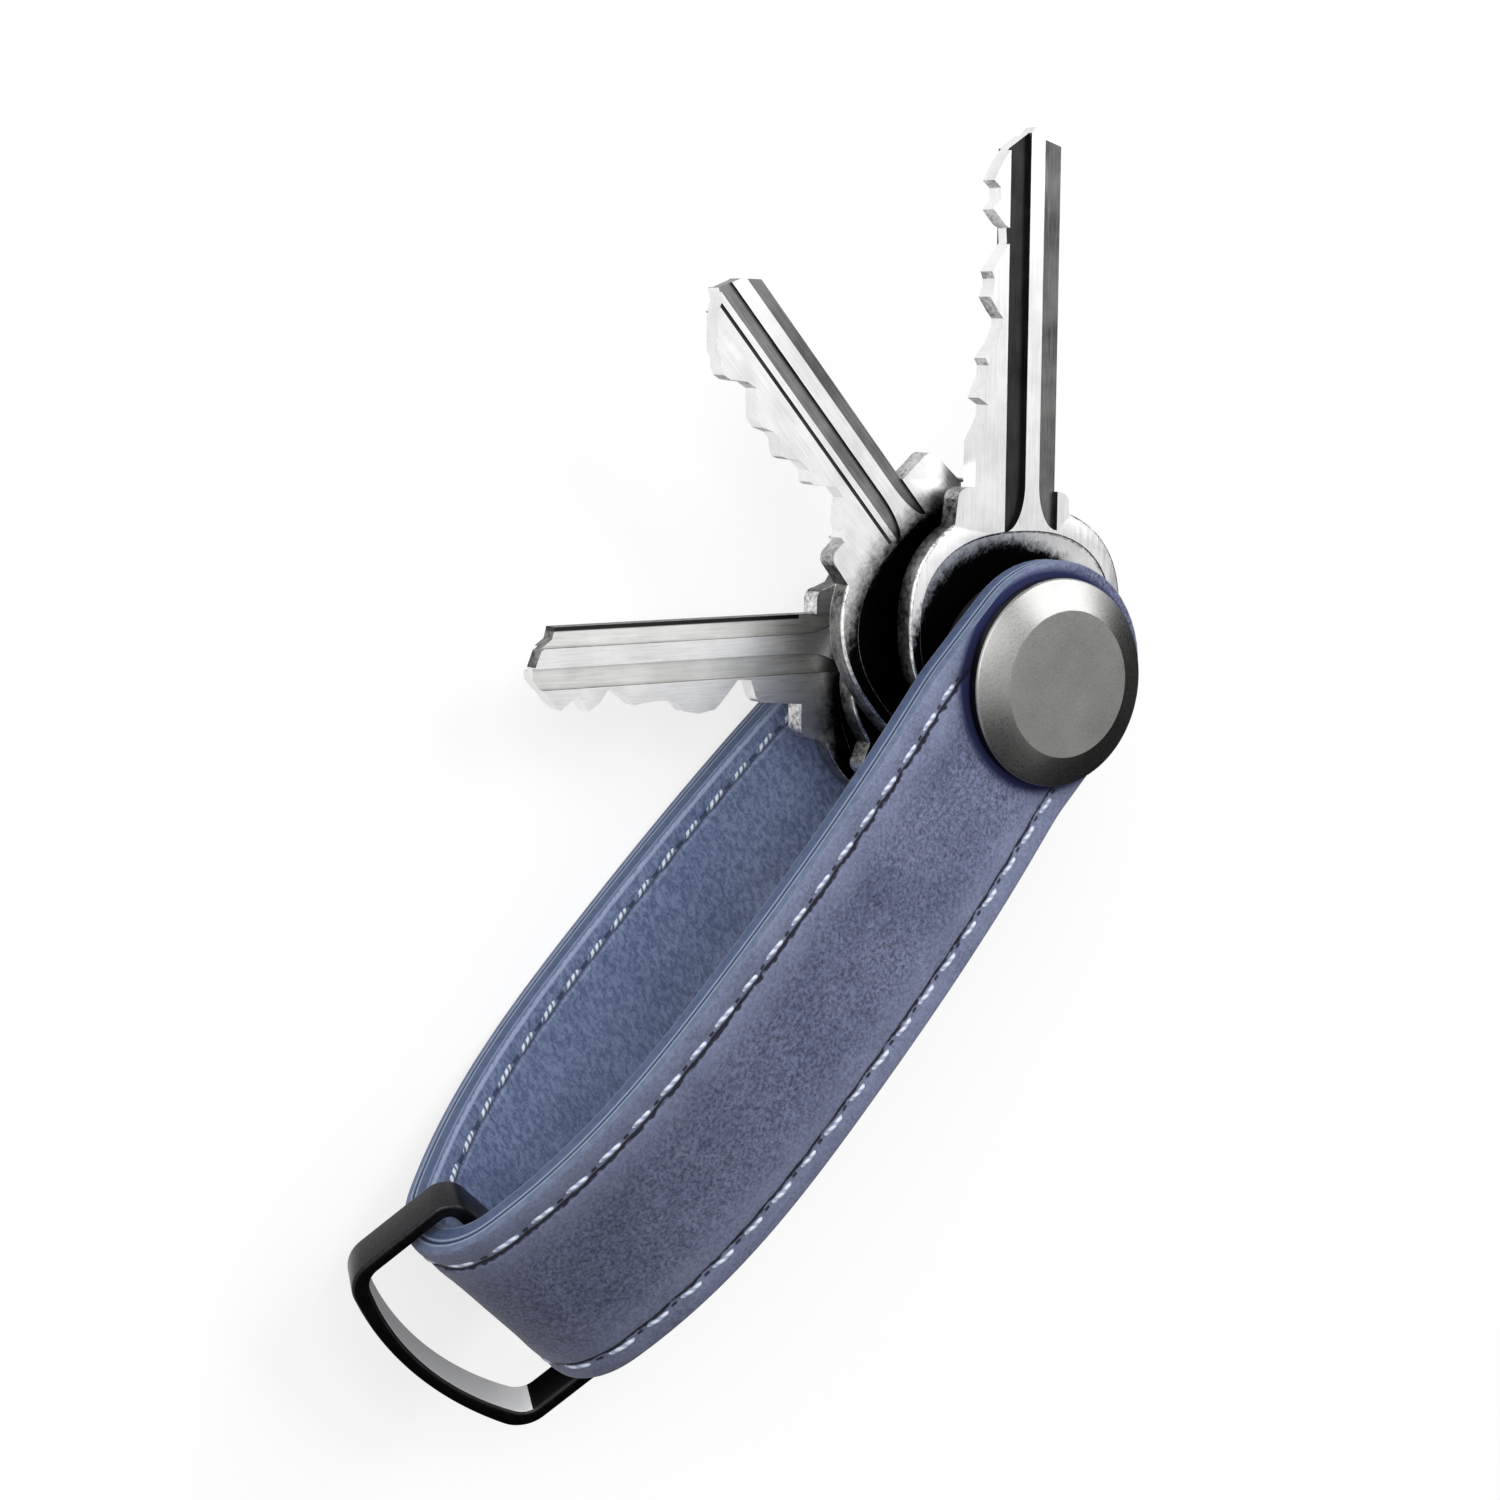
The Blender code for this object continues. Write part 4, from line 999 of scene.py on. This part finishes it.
def key_finishes(key):
    """The plated face, two groove tones painted for the grooves' shade and reflections, the wall
    in painted shade, the worn edges, the grooves' walls in painted shade and the flanks in
    painted shade, in the order of the material numbers."""
    kind = key["name"].replace("key_", "")
    return (nickel_finish("nickel plate, " + kind, key, "#f5f5f5", "#dcdcdc", 0.36),
            nickel_finish("milled groove, " + kind, key, *key["grooves"][0], 0.38),
            nickel_finish("milled back, " + kind, key, *key["grooves"][1], 0.38),
            nickel_finish("wall in painted shade, " + kind, key, "#8e8e8c", "#141414", 0.36,
                          0.5 * MM, stretch=1.0, stack_shade=False),
            nickel_finish("worn edge, " + kind, key, "#f8f8f8", "#5c5c5c", 0.26,
                          0.45 * MM, stretch=1.0, stack_shade=False),
            nickel_finish("groove wall, " + kind, key, "#4a4a4a", "#2a2a2a", 0.45,
                          stack_shade=False),
            nickel_finish("flank in painted shade, " + kind, key, "#cfcfcf", "#4c4c4c", 0.4,
                          0.4 * MM, stretch=1.0, stack_shade=False))


for key in keys:
    thick = key_thickness / 2
    stop = key["stop"] * MM
    back, height = -key["back"] * MM, key["height"] * MM
    root = stop - shoulder_height
    blank = plate(key_line(key), -thick, thick)
    # Walls, ears and the bitting flanks that face the bow take finishes in painted shade; the underside
    # and the rounded edges stay bright.
    for face in blank.faces:
        middle_x = face.calc_center_median().x
        on_bitting = middle_x > stop and face.normal.y > -0.2
        on_ear = root < middle_x < stop + ear_margin
        if face.normal.z < -0.5:
            face.material_index = WORN_EDGE
        elif face.normal.z < 0.5 and on_ear:
            face.material_index = WORN_EDGE if key["name"] == "key_rear" else SHADED_FLANK
        elif face.normal.z < 0.5 and on_bitting and face.normal.x < -0.25:
            face.material_index = SHADED_FLANK
        elif face.normal.z < 0.5 and not on_bitting:
            face.material_index = WALL
    outline_edges = [e for level in (-thick, thick) for e in level_edges(blank, level)]
    soften(blank, [e for e in outline_edges if all(v.co.x < root for v in e.verts)],
           bow_rounding, 3, WORN_EDGE)
    for side in (1, -1):
        tool = plate(bow_line(key, bow_rim, neck_rim), -bow_recess, 3 * bow_recess)
        for face in tool.faces:
            if abs(face.normal.z) < 0.5 or side < 0:
                face.material_index = WORN_EDGE
        soften(tool, level_edges(tool, -bow_recess), recess_rounding, 2, WORN_EDGE)
        if side < 0:
            bmesh.ops.rotate(tool, cent=(0, 0, 0), matrix=Matrix.Rotation(math.pi, 3, "X"),
                             verts=tool.verts)
        bmesh.ops.translate(tool, vec=(0, 0, side * thick), verts=tool.verts)
        blank = carve(blank, tool)
    end = stop + key["blade"] * MM + past_tip
    mill_start, mill_low = stop + mill_lead, back + height * mill_share
    mill_high = back + height + past_tip
    spans = [(back + height * low, back + height * high)
             for low, high in key["groove_shares"] + (rear_groove_shares,)]
    face_depth = key["groove_depth"] * MM
    cuts = [(back_groove_line(key, *spans[0]), 1, face_depth, BACK_GROOVE),
            (groove_line(key, *spans[1]), 1, face_depth, FRONT_GROOVE),
            (groove_line(key, *spans[2]), -1, groove_depth, FRONT_GROOVE),
            ([(mill_start, mill_low), (end, mill_low), (end, mill_high),
              (mill_start, mill_high)], -1, mill_depth, BACK_GROOVE)]
    if "scribe" in key:
        middle, width = (v * MM for v in key["scribe"])
        start = stop - scribe_lead
        cuts.append(([(start, middle - width / 2), (end, middle - width / 2),
                      (end, middle + width / 2), (start, middle + width / 2)],
                     1, scribe_depth, GROOVE_WALL))
    for outline, side, depth, finish in cuts:
        floor_level, beyond = side * (thick - depth), side * (thick + depth)
        tool = plate(outline, min(floor_level, beyond), max(floor_level, beyond))
        for face in tool.faces:
            face.material_index = finish if abs(face.normal.z) > 0.5 else GROOVE_WALL
        blank = carve(blank, tool)
    hole = rod(barrel_hole, -drill_reach, drill_reach)
    for face in hole.faces:
        face.material_index = WALL
    blank = carve(blank, hole)
    bmesh.ops.remove_doubles(blank, verts=blank.verts, dist=key_weld)
    blank.transform(Matrix.Translation((0, 0, key["level"] * MM))
                    @ Matrix.Rotation(math.radians(key["turn"]), 4, "Z"))
    piece_from(key["name"] + "_plated", blank, key_finishes(key), key["body"],
               (key["name"],))

# Ring. A flat strip of steel bent into a D round its straight bar, which lies in the
# strap's fold. It is tumbled so that its edges are round, brushed along its length and
# coated gunmetal, darker than the caps for painted shade. Inside the far side it is bright,
# where other rings and hooks rub, and brighter still for a painted reflection.
ring_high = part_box("d_ring")[1]
ring_strip_width = 3.8 * MM
ring_strip_thickness = 1.3 * MM
ring_half = ring_high.y
ring_reach = 13.9 * MM
ring_sagitta = 2.6 * MM
ring_corner = 3.2 * MM
ring_bar_corner = 2.2 * MM
ring_rounding = 0.32 * MM
ring_tilt = math.radians(-27)
ring_place = Vector((-69.327, 0.0, 14.4)) * MM


def ring_line(inset):
    """The D, drawn with its far side towards -X and the bar across the origin."""
    half = ring_half - inset
    near = ring_strip_thickness / 2 - inset
    far = -ring_reach + inset
    corner, bar_corner = ring_corner - inset, ring_bar_corner - inset
    bow_radius = (half ** 2 + ring_sagitta ** 2) / (2 * ring_sagitta)
    lean = math.asin((half - corner) / (bow_radius - corner))
    centre = far + bow_radius
    corner_x = centre - (bow_radius - corner) * math.cos(lean)
    points = corner_arc(near - bar_corner, half - bar_corner, bar_corner, 0.0, math.pi / 2, 10)
    points += corner_arc(corner_x, half - corner, corner, math.pi / 2, math.pi - lean, 12)
    points += corner_arc(centre, 0.0, bow_radius, math.pi - lean, math.pi + lean, 40)[1:-1]
    points += corner_arc(corner_x, corner - half, corner, math.pi + lean, 1.5 * math.pi, 12)
    points += corner_arc(near - bar_corner, bar_corner - half, bar_corner, 1.5 * math.pi,
                         2 * math.pi, 10)
    return points


# The coat's dark tone is partly painted shade, standing for the dark reflections on the arms.
ring_finish, tree, coat, place = new_finish("brushed gunmetal")
drawn = add_node(tree, "Mapping", {"Vector": place, "Scale": (1.0, 0.08, 1.0)})
brushing = add_node(tree, "TexNoise", {"Vector": drawn, "Scale": 1 / (0.18 * MM),
                                       "Detail": 4.0, "Roughness": 0.65})
bump = add_node(tree, "Bump", {"Strength": 0.25, "Distance": 0.02 * MM, "Height": brushing})
feed(tree, coat, {"Base Color": two_tones(tree, brushing, 0.3, "#242426", 0.72, "#38383a"),
                  "Normal": bump, "Roughness": 0.33, "Metallic": 1.0})

# The bare steel inside the far side, worn and painted bright for a reflection, and slightly grained.
far_face_sheen, tree, bare, place = new_finish("bare steel, painted reflection")
where = add_node(tree, "SeparateXYZ", {0: place})
wear_and_sheen = add_node(tree, "TexNoise", {"Vector": place, "Scale": 1 / (0.5 * MM), "Detail": 4.0,
                                      "Roughness": 0.6})
along_ring = add_node(tree, "Math", {0: wear_and_sheen, 1: 4 * MM, 2: where.outputs["Y"]},
                      operation="MULTIPLY_ADD")
bump = add_node(tree, "Bump", {"Strength": 0.2, "Distance": 0.02 * MM, "Height": wear_and_sheen})
feed(tree, bare, {"Base Color": two_tones(tree, along_ring, -ring_half + 4 * MM, "#fdfdfc",
                                          ring_half, "#cfcfcf"),
                  "Normal": bump, "Roughness": 0.7, "Metallic": 1.0})

ring = bmesh.new()
loops = []
for inset in (0.0, ring_strip_thickness):
    points = [ring.verts.new((x, y, -ring_strip_width / 2)) for x, y in ring_line(inset)]
    loops += [ring.edges.new(pair) for pair in zip(points, points[1:] + points[:1])]
faces = bmesh.ops.bridge_loops(ring, edges=loops)["faces"]
raised = bmesh.ops.extrude_face_region(ring, geom=faces)["geom"]
bmesh.ops.translate(ring, vec=(0, 0, ring_strip_width),
                    verts=[v for v in raised if isinstance(v, bmesh.types.BMVert)])
bmesh.ops.recalc_face_normals(ring, faces=ring.faces)
rims = [e for level in (-1, 1) for e in level_edges(ring, level * ring_strip_width / 2)
        if e.calc_face_angle(0) > math.radians(60)]
soften(ring, rims, ring_rounding, 4)
# Faces inside the far side take the bright steel with its painted reflection.
for face in ring.faces:
    centre = face.calc_center_median()
    towards_bar = centre.x < -0.5 * ring_reach and face.normal.x > 0.3
    if towards_bar and abs(face.normal.z) < 0.35:
        face.material_index = 1
ring.transform(Matrix.Translation(ring_place) @ Matrix.Rotation(ring_tilt, 4, "Y"))
piece_from("brushed_ring", ring, (ring_finish, far_face_sheen), "ring", ("d_ring",))
